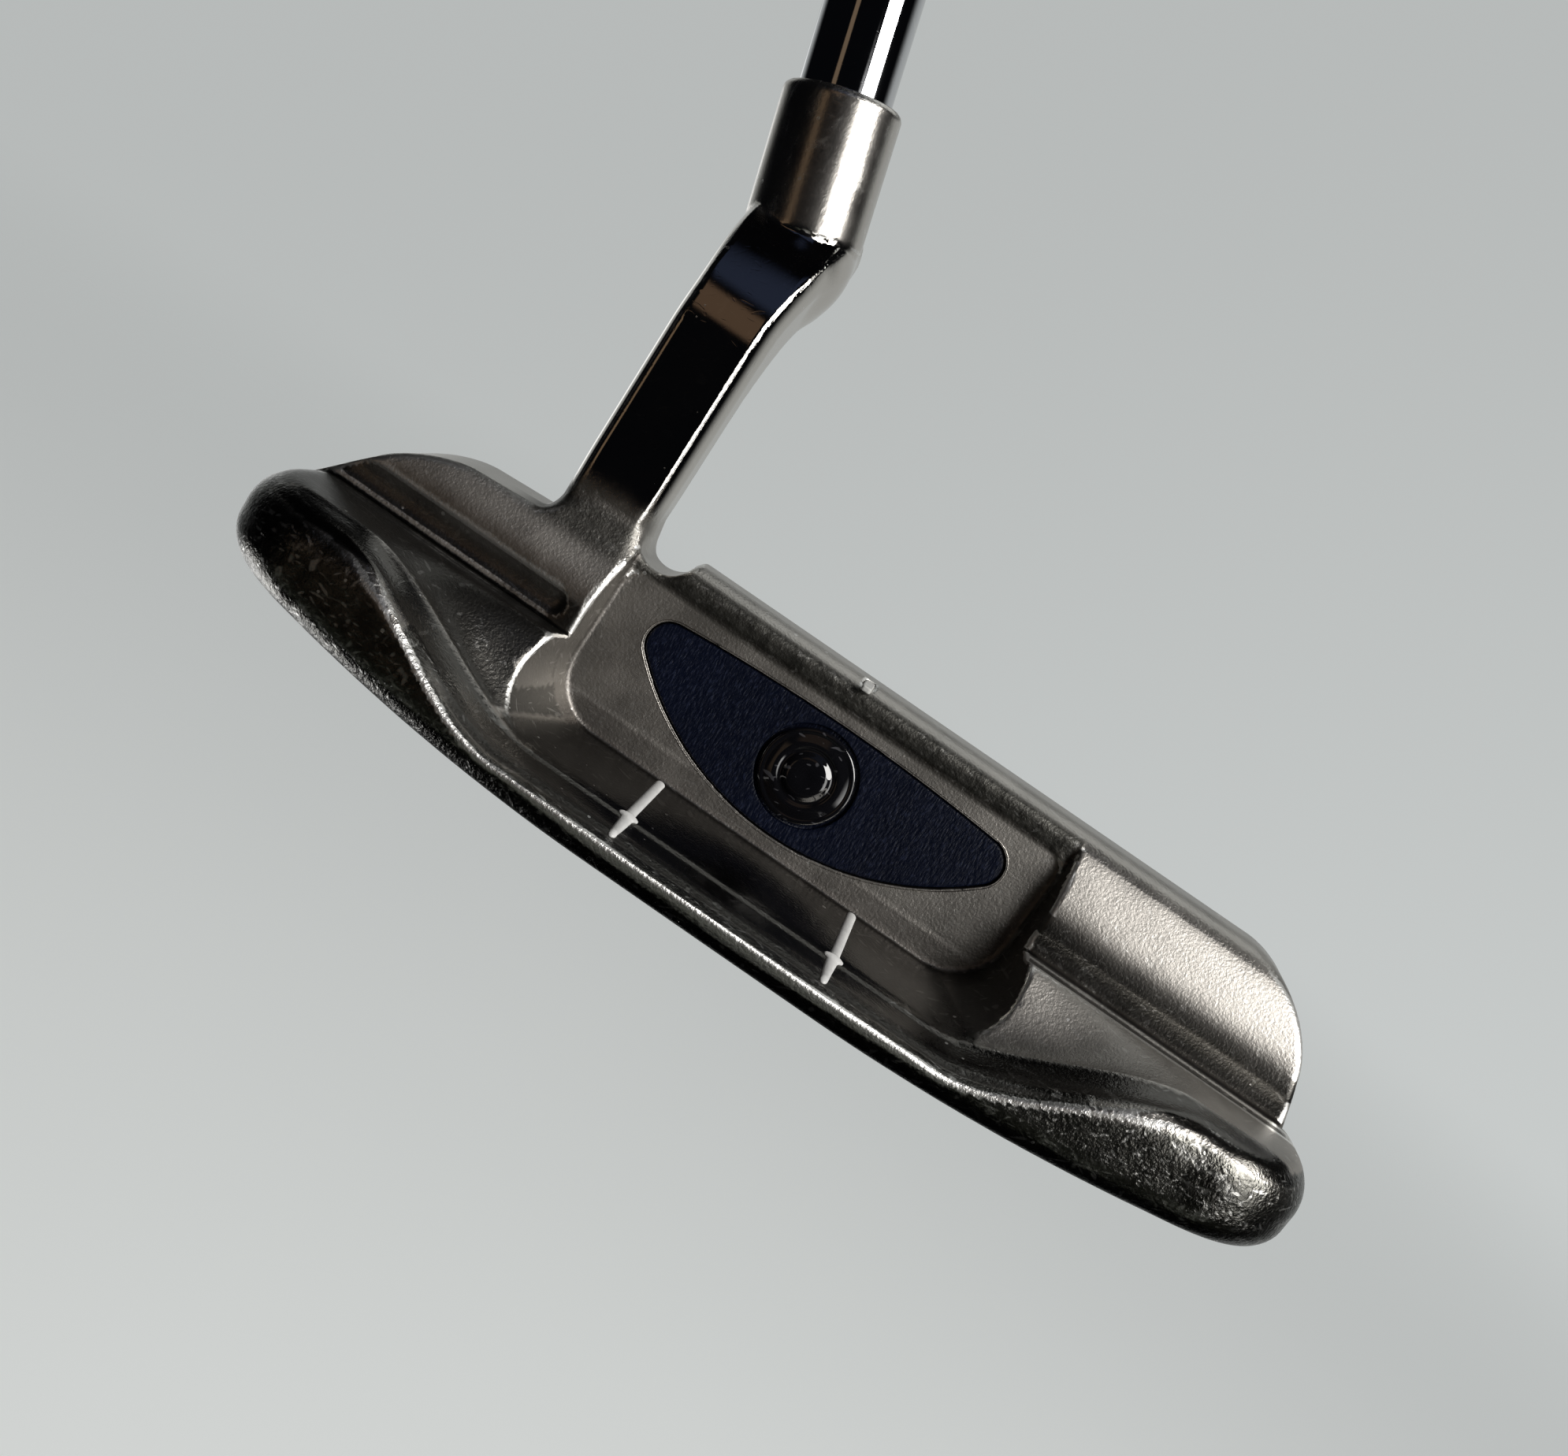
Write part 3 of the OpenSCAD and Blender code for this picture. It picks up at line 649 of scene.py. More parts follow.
def cast_nickel(settings):
    """Satin, worn and polished nickel plating of the casting, with painted shade in its hollows and shaded zones."""
    material, tree, shader = new_material("Cast nickel plate", metallic=1.0)
    place = object_coordinates(tree)
    edge, hollow, polish, rough, skin, blast, tarnish, collar = (
        attribute(tree, key) for key in ("edge", "hollow", "polish", "rough", "skin", "blast", "tarnish", "collar"))
    grain = place_group(tree, "Fine grain", Vector=place, Size=0.3, Mottle_size=5.0)
    coarse = place_group(tree, "Fine grain", Vector=place, Size=0.42, Mottle_size=1.6)
    scratch = place_group(tree, "Scratches", Vector=place, Density=0.62, Length=1.5)["Mask"]
    fine_scratch = place_group(tree, "Scratches", Vector=place, Density=0.35, Length=3.0)["Mask"]
    wear = place_group(tree, "Edge wear", Vector=place, Edge=edge, Raggedness=0.42, Size=0.45)["Mask"]
    specks = place_group(tree, "Specks", Vector=place, Spacing=1.7, Amount=0.13)["Mask"]

    plate = mix_colour(tree, grain["Mottle"], rgba([c * 0.82 for c in settings.plate]), rgba(settings.plate))
    plate = mix_colour(tree, polish, plate, rgba(settings.polished))
    dark = mix_colour(tree, coarse["Mottle"], rgba([c * 0.45 for c in settings.skin]), rgba(settings.skin))
    plate = mix_colour(tree, math_node(tree, "MAXIMUM", rough, skin), plate, dark)
    # painted shade: hollows and creases are darkened towards dark brown
    plate = mix_colour(tree, math_node(tree, "MULTIPLY", hollow, 0.5), plate, (0.12, 0.10, 0.09, 1))
    # painted shade and darkening: the shaded cavity zones and the polished floor, band and lip are mixed towards a
    # near-black colour
    plate = mix_colour(tree, math_node(tree, "MULTIPLY", tarnish, 0.95), plate, rgba(settings.tarnish))
    scratched = math_node(tree, "MULTIPLY", scratch, math_node(tree, "MULTIPLY_ADD", rough, 0.42, 0.02))
    lightly = math_node(tree, "MULTIPLY", fine_scratch, math_node(tree, "MULTIPLY_ADD", polish, -0.03, 0.13))
    marks = math_node(tree, "MAXIMUM", scratched, lightly)
    marks = math_node(tree, "MAXIMUM", marks, math_node(tree, "MULTIPLY", specks, 0.7))
    streak = noise(tree, object_coordinates(tree, scale=(1.0, 1.0, 0.45), turn=(0, -0.28, 0)), 420.0, 5.0, 0.7, 0.6)
    streak = math_node(tree, "MULTIPLY", map_range(tree, streak, 0.5, 0.72), math_node(tree, "MULTIPLY", collar, 0.6))
    bare = math_node(tree, "MAXIMUM", math_node(tree, "MAXIMUM", wear, marks), streak, clamp=True)
    link(tree, mix_colour(tree, bare, plate, rgba(settings.worn)), shader.inputs["Base Color"])

    finish = mix_value(tree, blast, 0.30, 0.46)
    finish = mix_value(tree, skin, finish, 0.5)
    finish = mix_value(tree, rough, finish, 0.27)
    finish = mix_value(tree, polish, finish, math_node(tree, "MULTIPLY_ADD", collar, 0.13, 0.07))
    finish = math_node(tree, "ADD", finish, math_node(tree, "MULTIPLY_ADD", grain["Mottle"], 0.05, -0.025))
    finish = mix_value(tree, bare, finish, 0.38)
    link(tree, finish, shader.inputs["Roughness"])

    dull = math_node(tree, "SUBTRACT", 1.0, math_node(tree, "MULTIPLY", polish, 0.97))
    height = math_node(tree, "MULTIPLY", grain["Height"], math_node(tree, "MULTIPLY", dull, 0.9))
    cast = math_node(tree, "MULTIPLY", math_node(tree, "MAXIMUM", rough, skin), 1.5)
    heavy = math_node(tree, "MULTIPLY", coarse["Height"], cast)
    height = math_node(tree, "ADD", height, heavy)
    height = math_node(tree, "SUBTRACT", height, math_node(tree, "MULTIPLY", marks, 0.5))
    height = math_node(tree, "SUBTRACT", height, math_node(tree, "MULTIPLY", wear, 0.35))
    bump(tree, shader, height, 0.00005, 1.0)
    return material


def flat_seat(points, normals):
    """Keeps the back wall's normal right up to the badge's pocket."""
    x, y, z = points.T
    v, n = wall_frame(y, z)
    beside = (np.abs(leaf_field(x, v) - 0.12) < 0.45) & (np.abs(n) < 0.15)
    return np.where(beside[:, None], (0, -math.cos(WALL_TILT), math.sin(WALL_TILT)), normals)


def head_zones(points, normals):
    """Edge, finish and painted-shade masks at each point of the casting, the painted shade in hollows and shaded zones.
    """
    # bend: the field's Laplacian, positive on convex edges and negative in hollows
    h = 0.32
    x, y, z = points.T
    bend = -6 * sample(head_field, points)
    for axis in range(3):
        for side in (-1, 1):
            offset = np.zeros(3)
            offset[axis] = side * h
            bend += sample(head_field, points + offset)
    bend /= h * h
    v, n = wall_frame(y, z)
    # neck and heel
    neck = np.maximum(ease((z - 24.5) / 2.5) * (x < -34), ease((z - 26) / 3))
    foot = ease((27.5 - z) / 3) * ease((z - 20.5) / 2) * (y < 8) * ease((-25.3 - x) / 1.5) * ease((x + 40) / 5)
    cove = ease((2.25 - np.hypot(y - 1.1, z - 15.5)) / 0.3) * (np.abs(x) > 25) * (y < 3.6)
    collar = ease(shaft_frame(x, y, z)[2] - HOSEL_LOW_S)
    # S-shaped band, cavity floor and bumper
    ridge_gap, lip_gap = RIDGE_Y - y, y - lip_y(x)
    in_band = ease(ridge_gap / 0.3) * ease((lip_gap + 0.7) / 0.5) * (z > lip_z(x) - 1.2)
    level = ease((normals[:, 2] - 0.55) / 0.3)
    floor = (np.abs(x) < 26) * ease((FLOOR_H + 0.6 - z) / 0.6) * (y > RIDGE_Y - 0.1) * level * (z > 2.5)
    bumper = np.maximum(ease((0.5 - lip_gap) / 0.5) * (np.abs(x) < 36),
                        ease((lip_z(x) - 0.9 - z) / 0.8) * (y < -2) * (n > 2))
    bumper = bumper * (normals[:, 1] < 0.55) * (z < 13.4)
    bumper = np.maximum(bumper, ease((np.abs(x) - 50) / 5) * (z < 13) * (y < 8))
    # cavity: dark cast band under the topline, side walls and back wall
    band = ease((z - CAVITY_TOP + 0.7) / 0.3) * ease((25.05 - z) / 0.4)
    band = band * (y < 7) * (np.abs(x) < 25.6) * (normals[:, 1] < -0.5)
    cheek = (np.abs(x) > 22) & (np.abs(x) < 27.6) & (z > 5.5) & (z < CAVITY_TOP) & (y > RIDGE_Y - 0.2) & (n > 0.1)
    cheek = cheek * ease((np.abs(normals[:, 0]) - 0.15) / 0.4)
    wall = (np.abs(n) < 0.5) * (np.abs(x) < 25.4) * (z < CAVITY_TOP + 0.1) * (normals[:, 1] < -0.6)
    # shelves, and the creases and lips where wear is held back or put on; along the toe's ridge the put-on wear is
    # partly a painted highlight
    shelf = (normals[:, 2] > 0.55) * (y < 3) * (y > RIDGE_Y) * (z > 6.8) * (z < 15)
    heel_shelf = shelf * (x < 0)
    faint = np.clip(ease(1 - np.abs(ridge_gap) / 1.2) + ease(1 - np.abs(lip_gap) / 1.2), 0, 1) * (z < 14.6) * (y < -3)
    lip = ease((1.4 - np.abs(lip_gap)) / 0.5) * ease((34 - np.abs(x)) / 6) * (z > 3)
    # partly edge wear, partly a painted highlight: the toe's ridge is given the bright worn colour
    crest_wear_and_highlight = ease(1 - np.abs(y + 0.2) / 1.3) * ease(1 - np.abs(z - 13.9) / 1.0) * (x > 25)
    crease = ease((18.2 - z) / 0.4) * ease((z - 15.8) / 0.4) * (y < 4) * (x > 25)
    seat = ease(1.2 - np.abs(leaf_field(x, v))) * (np.abs(n) < 0.8)
    # the weights' convex back walls
    behind = (normals[:, 1] < -0.35) * (y < 6) * (np.abs(x) > 25)
    upper = ease((z - 15.5) / 5) * behind
    # painted dark reflection: the bottom part of the toe weight's back wall is darkened
    lower_dark_reflection = ease((20.5 - z) / 4) * behind * (z > 14.2) * (x > 0)
    spared = np.maximum.reduce([0.85 * faint, 0.85 * band, seat, lip, crease])
    # painted shade: the cavity's cheeks (most on the toe side, where the key light's shadow falls), the cove, the heel
    # shelf and a little of the shelves and back wall are darkened; the floor, band and lip are darkened too
    dark = (in_band, floor, 0.9 * lip, heel_shelf, 0.3 * shelf, cheek * (0.72 + 0.2 * (x > 0)), 0.9 * cove, lower_dark_reflection,
            0.22 * wall)
    return {
        "edge": np.maximum(np.clip((bend - 0.35) / 2.0, 0, 1) * (1 - spared), 0.8 * crest_wear_and_highlight),
        # painted shade in concave hollows, from the field's Laplacian
        "hollow": np.clip((-bend - 0.25) / 1.8, 0, 1) * (1 - neck),
        "polish": np.clip(np.maximum(neck * (1 - 0.22 * collar), np.maximum(0.45 * in_band, 0.5 * floor)), 0, 1),
        "rough": np.clip(bumper * (1 - lip) * (1 - neck), 0, 1),
        "skin": np.clip(np.maximum.reduce([band, 0.2 * heel_shelf, 0.9 * foot, lip]), 0, 1),
        "tarnish": np.clip(np.maximum.reduce(dark), 0, 1),
        "collar": collar,
        "blast": np.clip(wall + (cheek > 0.05) + upper + shelf * (x > 0), 0, 1).astype(float),
    }


# ---------------------------------------------------------------- settings
def colour_property(name, text, default):
    return FloatVectorProperty(name=name, description=text, default=default, subtype="COLOR", size=3, min=0, max=1)


class PutterHeadSettings(PropertyGroup):
    cell: FloatProperty(name="Cell", description="Grid spacing of the casting's surface", default=0.41 * MM,
                        min=0.3 * MM, max=2 * MM, unit="LENGTH", precision=5)
    plate: colour_property("Plate", "Nickel plating where it is satin", (0.50, 0.475, 0.44))
    polished: colour_property("Polished", "Nickel plating where it is polished", (0.60, 0.57, 0.53))
    worn: colour_property("Worn", "Bare metal along worn edges and scratches", (0.86, 0.85, 0.82))
    skin: colour_property("Cast skin", "Dark cast and tumbled surfaces", (0.13, 0.127, 0.115))
    # painted shade and darkening: near-black colour for the shaded cavity zones and for the dark floor, band and lip
    tarnish: colour_property("Tarnish", "Darkened polish of the floor and the band", (0.075, 0.072, 0.066))


class PutterBadgeSettings(PropertyGroup):
    navy: colour_property("Navy", "Colour of the leaf-shaped badge", (0.0016, 0.0035, 0.0125))
    gloss: colour_property("Medallion", "Colour of the domed medallion", (0.004, 0.004, 0.005))
    rim: FloatProperty(name="Rim", description="Radius of the raised rim round the badge", default=0.055 * MM,
                       min=0.05 * MM, max=0.6 * MM, unit="LENGTH", precision=5)


class PutterMarkSettings(PropertyGroup):
    paint: colour_property("Paint", "Colour of the sight lines", (0.62, 0.62, 0.61))
    mark: colour_property("Topline mark", "Colour of the mark on the topline", (0.50, 0.50, 0.48))
    spacing: FloatProperty(name="Spacing", description="Distance of each sight line from the middle",
                           default=11.2 * MM, min=5 * MM, max=16 * MM, unit="LENGTH", precision=5)


class PutterShaftSettings(PropertyGroup):
    chrome: colour_property("Chrome", "Colour of the shaft", (0.66, 0.67, 0.69))
    steps: IntProperty(name="Steps", description="Number of steps in the shaft", default=11, min=1, max=20)
    tip: FloatProperty(name="Tip radius", description="Outside radius of the shaft's tip", default=TIP_R * MM,
                       min=4 * MM, max=6 * MM, unit="LENGTH", precision=5)
    butt: FloatProperty(name="Butt radius", description="Outside radius of the shaft's butt", default=BUTT_R * MM,
                        min=7 * MM, max=9 * MM, unit="LENGTH", precision=5)


class PutterGripSettings(PropertyGroup):
    rubber: colour_property("Rubber", "Colour of the grip", (0.012, 0.013, 0.016))
    pitch: FloatProperty(name="Pitch", description="Spacing of the raised ribs along the grip", default=3.4 * MM,
                         min=2 * MM, max=10 * MM, unit="LENGTH", precision=5)
    seed: IntProperty(name="Seed", description="Seed of the small changes in the ribs' height", default=3)


class PutterStageSettings(PropertyGroup):
    backdrop: colour_property("Backdrop", "Colour behind the putter", (0.50, 0.52, 0.515))
    key: FloatProperty(name="Key light", description="Power of the large soft light on the toe side", default=8.2,
                       min=0, subtype="POWER", unit="POWER")
    floor_depth: FloatProperty(name="Floor", description="Distance of the floor below the sole", default=0.35,
                               min=0, unit="LENGTH")


# ---------------------------------------------------------------- operators
class PUTTER_OT_cast_head(Operator):
    """Model the blade, weights, bumper, neck and hosel as one worn casting"""
    bl_idname = "putter.cast_head"
    bl_label = "Cast the head"

    def execute(self, context):
        settings = context.scene.putter_head
        step = settings.cell / MM
        piece = field_piece("head_casting_shell", head_field, (-59, -15.6, -1.2), (60.6, 25.2, 72.6), step,
                            attributes=head_zones, shade=flat_seat)
        if len(piece.data.vertices) < 1000:
            raise RuntimeError("the casting's surface came out empty")
        set_material(piece, cast_nickel(settings))
        finish_piece(piece, "cast_nickel", "head_casting")
        return {"FINISHED"}


class PUTTER_OT_fit_badge(Operator):
    """Model the pebbled leaf-shaped badge, its raised rim and the domed medallion"""
    bl_idname = "putter.fit_badge"
    bl_label = "Fit the badge"

    def execute(self, context):
        settings = context.scene.putter_badge

        def leaf(u, v, n):
            shape = round_max(leaf_field(u, v) + 0.03, n + 0.16 + 0.0009 * (u - 0.2) ** 2 * 0.3, 0.28)
            shape = np.maximum(shape, -(n + 1.15))
            seat = np.maximum(np.hypot(u, v - MEDAL_Z) - 5.15, -(n + 0.62))
            return round_max(shape, -seat, 0.12)

        piece = field_piece("badge_leaf", leaf, (-20.8, 7.6, -1.4), (21.2, 21.4, 0.2), 0.2, place=wall_point)
        set_material(piece, self.pebbled(settings))
        finish_piece(piece, "badge_navy", "cavity_badge")

        rim = self.rim(settings)
        set_material(rim, bpy.data.materials["Cast nickel plate"])
        finish_piece(rim, "cast_nickel")

        top = MEDAL_SEAT_N
        profile = [(0, top - 1.0), (1.5, top - 1.0), (1.5, top - 0.6), (MEDAL_R, top - 0.6), (MEDAL_R, top + 0.28),
                   (4.70, top + 0.36), (4.60, top + 0.42), (4.45, top + 0.45), (4.28, top + 0.44)]
        for i in range(46):
            r = 4.2 * (1 - i / 46)
            dome = 0.36 + 0.72 * (1 - (r / 4.3) ** 2)
            dish = 0.30 * math.exp(-((r - 2.55) / 0.42) ** 2) + 0.16 * math.exp(-(r / 0.9) ** 2)
            profile.append((r, top + dome - dish))
        profile.append((0, top + 0.36 + 0.72 - 0.16))
        points, faces = lathe(profile, 96, lambda u, v, n: wall_point(u, v + MEDAL_Z, n))
        medallion = mesh_piece("badge_medallion_dome", points, faces)
        set_material(medallion, self.glossy(settings))
        finish_piece(medallion, "medallion_gloss", "badge_medallion")
        return {"FINISHED"}

    def rim(self, settings):
        """Raised rim that follows the leaf's outline, swept in Geometry Nodes."""
        count = 220
        outline = []
        for i in range(count):
            a = 2 * math.pi * i / count
            # march out from the middle of the leaf to its outline
            u, v, r = 0.2, 15.5, 0.0
            for _ in range(60):
                r -= float(leaf_field(np.array([u + r * math.cos(a)]), np.array([v + r * math.sin(a)]))[0] - 0.3) * 0.8
            outline.append(wall_point(u + r * math.cos(a), v + r * math.sin(a), -0.01))
        curve = bpy.data.meshes.new("badge_rim")
        curve.from_pydata([tuple(c * MM for c in p) for p in outline], [(i, (i + 1) % count) for i in range(count)], [])
        guide = bpy.data.objects.new("badge_rim", curve)
        bpy.context.scene.collection.objects.link(guide)
        tree = bpy.data.node_groups.new("Rim along an outline", "GeometryNodeTree")
        tree.interface.new_socket("Outline", in_out="INPUT", socket_type="NodeSocketGeometry")
        radius = tree.interface.new_socket("Radius", in_out="INPUT", socket_type="NodeSocketFloat")
        tree.interface.new_socket("Rim", in_out="OUTPUT", socket_type="NodeSocketGeometry")
        start, end = tree.nodes.new("NodeGroupInput"), tree.nodes.new("NodeGroupOutput")
        to_curve = tree.nodes.new("GeometryNodeMeshToCurve")
        sweep = tree.nodes.new("GeometryNodeCurveToMesh")
        circle = tree.nodes.new("GeometryNodeCurvePrimitiveCircle")
        circle.inputs["Resolution"].default_value = 10
        link(tree, start.outputs["Radius"], circle.inputs["Radius"])
        link(tree, start.outputs["Outline"], to_curve.inputs["Mesh"])
        link(tree, to_curve.outputs[0], sweep.inputs["Curve"])
        link(tree, circle.outputs[0], sweep.inputs["Profile Curve"])
        end_tree(tree, sweep.outputs[0], end.inputs["Rim"], bpy.data.materials["Cast nickel plate"])
        piece = bake_nodes(guide, tree, {radius.identifier: settings.rim})
        edge = piece.data.attributes.new("edge", "FLOAT", "POINT")
        edge.data.foreach_set("value", np.zeros(len(piece.data.vertices), np.float32))
        return piece

    def pebbled(self, settings):
        material, tree, shader = new_material("Navy pebbled badge", Specular_IOR_Level=0.22)
        place = object_coordinates(tree)
        upright = object_coordinates(tree, scale=(1.0, 1.0, 0.32), turn=(0, 0.25, 0))
        pebbles = place_group(tree, "Fine grain", Vector=upright, Size=0.20, Mottle_size=7.0)
        cells = node(tree, "ShaderNodeTexVoronoi", feature="SMOOTH_F1")
        link(tree, upright, cells.inputs["Vector"])
        cells.inputs["Scale"].default_value = 3600
        # painted highlight: the pebbles' tops are mixed towards a lighter navy
        light = math_node(tree, "MULTIPLY", map_range(tree, pebbles["Height"], 0.52, 0.72), 0.8)
        base = mix_colour(tree, pebbles["Mottle"], rgba([c * 0.7 for c in settings.navy]), rgba(settings.navy))
        base = mix_colour(tree, light, base, rgba([c * 2.2 + 0.004 for c in settings.navy]))
        link(tree, base, shader.inputs["Base Color"])
        dust = place_group(tree, "Specks", Vector=place, Spacing=2.2, Amount=0.05)["Mask"]
        finish = map_range(tree, pebbles["Height"], 0.3, 0.7, 0.34, 0.5)
        link(tree, mix_value(tree, dust, finish, 0.7), shader.inputs["Roughness"])
        height = math_node(tree, "ADD", pebbles["Height"], math_node(tree, "MULTIPLY", cells.outputs["Distance"], 0.6))
        bump(tree, shader, height, 0.0001, 0.8)
        return material

    def glossy(self, settings):
        material, tree, shader = new_material("Glossy black medallion", Coat_Roughness=0.02)
        place = object_coordinates(tree)
        grain = place_group(tree, "Fine grain", Vector=place, Size=0.8, Mottle_size=3.0)
        hair = place_group(tree, "Scratches", Vector=place, Density=0.15, Length=2.0)["Mask"]
        link(tree, mix_colour(tree, hair, rgba(settings.gloss), (0.05, 0.05, 0.055, 1)), shader.inputs["Base Color"])
        set_roughness(tree, shader, grain["Mottle"], 0.035, 0.075)
        link(tree, map_range(tree, grain["Mottle"], 0.0, 1.0, 0.85, 1.0), shader.inputs["Coat Weight"])
        bump(tree, shader, grain["Height"], 0.000004, 0.4)
        return material


def end_tree(tree, geometry, target, material, smooth=True):
    """Ends a Geometry Nodes tree in Realize Instances and Set Material."""
    realize = tree.nodes.new("GeometryNodeRealizeInstances")
    shade = tree.nodes.new("GeometryNodeSetShadeSmooth")
    shade.inputs["Shade Smooth"].default_value = smooth
    paint = tree.nodes.new("GeometryNodeSetMaterial")
    paint.inputs["Material"].default_value = material
    link(tree, geometry, realize.inputs[0])
    link(tree, realize.outputs[0], shade.inputs[0])
    link(tree, shade.outputs[0], paint.inputs[0])
    link(tree, paint.outputs[0], target)


def bake_nodes(guide, tree, values):
    """Runs a Geometry Nodes tree on an object and returns the result as a plain mesh object."""
    modifier = guide.modifiers.new(tree.name, "NODES")
    modifier.node_group = tree
    for identifier, value in values.items():
        modifier[identifier] = value
    graph = bpy.context.evaluated_depsgraph_get()
    mesh = bpy.data.meshes.new_from_object(guide.evaluated_get(graph), preserve_all_data_layers=True, depsgraph=graph)
    name = guide.name
    guide.modifiers.clear()
    bpy.data.objects.remove(guide)
    mesh.name = name
    piece = bpy.data.objects.new(name, mesh)
    bpy.context.scene.collection.objects.link(piece)
    if not len(mesh.polygons):
        raise RuntimeError(f"{name} came out empty")
    return piece


class PUTTER_OT_paint_marks(Operator):
    """Fill the two sight lines and the topline's notch with domed paint"""
    bl_idname = "putter.paint_marks"
    bl_label = "Paint the sight lines"

    def execute(self, context):
        settings = context.scene.putter_marks
        white = self.paint("White sight paint", settings.paint, 0.42)
        spacing = settings.spacing / MM
        for name, node_name, middle in (("sight_paint_heel", "sight_line_heel", -spacing),
                                        ("sight_paint_toe", "sight_line_toe", spacing)):
            piece = field_piece(name, self.line(middle), (middle - 1.6, -12.6, 3.4), (middle + 1.6, 6.2, 7.6), 0.13)
            set_material(piece, white)
            finish_piece(piece, "paint_white", node_name)

        def mark(x, y, z):
            plan = round_max(np.abs(x) - 0.52, np.abs(y - 7.15) - 1.85, 0.3)
            return round_max(plan, np.abs(z - 25.25) - 0.28, 0.12)

        piece = field_piece("topline_mark_paint", mark, (-1, 4.8, 24.6), (1, 9.6, 25.9), 0.1)
        set_material(piece, self.paint("Grey topline paint", settings.mark, 0.5))
        finish_piece(piece, "paint_grey", "topline_sight_mark")
        return {"FINISHED"}

    def line(self, middle):
        """Stretched, round-ended bead that follows the floor, the ridge and the band."""
        def surface(x, y):
            floor = FLOOR_H - (wall_y(FLOOR_H) - y) * math.tan(WALL_TILT)
            return np.where(y > RIDGE_Y, floor, np.minimum(floor, rear_top(middle + 0 * x, y)))

        def bead(x, y, z):
            along = np.clip((RIDGE_Y - y) / 4.4, 0, 1)
            half = 0.50 + 0.1 * ease((RIDGE_Y + 0.3 - y) / 0.5) - 0.2 * along
            past = np.maximum(y - 4.3, 0) + np.maximum(-11.1 - y, 0)
            height = (z - surface(x, y)) / 0.3
            line = (np.sqrt(((x - middle) / half) ** 2 + height ** 2 + (past / 0.5) ** 2) - 1) * 0.3
            spill = (np.sqrt((x - middle) ** 2 + ((y - RIDGE_Y + 0.1) / 0.34) ** 2 + height ** 2) - 1) * 0.26
            return round_min(line, spill, 0.1)
        return bead

    def paint(self, name, colour, roughness):
        material, tree, shader = new_material(name, Specular_IOR_Level=0.5)
        place = object_coordinates(tree)
        grain = place_group(tree, "Fine grain", Vector=place, Size=0.35, Mottle_size=1.2)
        dirt = math_node(tree, "MULTIPLY", grain["Mottle"], 0.35)
        link(tree, mix_colour(tree, dirt, rgba(colour), rgba([c * 0.62 for c in colour])), shader.inputs["Base Color"])
        set_roughness(tree, shader, grain["Mottle"], roughness - 0.08, roughness + 0.1)
        bump(tree, shader, grain["Height"], 0.00004, 0.6)
        return material


class PUTTER_OT_fit_insert(Operator):
    """Give the grooved face insert its soft polymer finish"""
    bl_idname = "putter.fit_insert"
    bl_label = "Fit the face insert"

    def execute(self, context):
        material, tree, shader = new_material("Face polymer", Subsurface_Weight=0.0)
        navy = context.scene.putter_badge.navy
        place = object_coordinates(tree)
        grain = place_group(tree, "Fine grain", Vector=place, Size=0.3, Mottle_size=9.0)
        rub = place_group(tree, "Scratches", Vector=place, Density=0.25, Length=4.0)["Mask"]
        dark, light = rgba([c * 1.6 + 0.004 for c in navy]), rgba([c * 2.6 + 0.006 for c in navy])
        base = mix_colour(tree, grain["Mottle"], dark, light)
        rubbed = mix_colour(tree, math_node(tree, "MULTIPLY", rub, 0.4), base, (0.16, 0.17, 0.2, 1))
        link(tree, rubbed, shader.inputs["Base Color"])
        set_roughness(tree, shader, grain["Mottle"], 0.38, 0.5)
        bump(tree, shader, grain["Height"], 0.00003, 0.5)
        set_material(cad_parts["face_insert"], material)
        return {"FINISHED"}


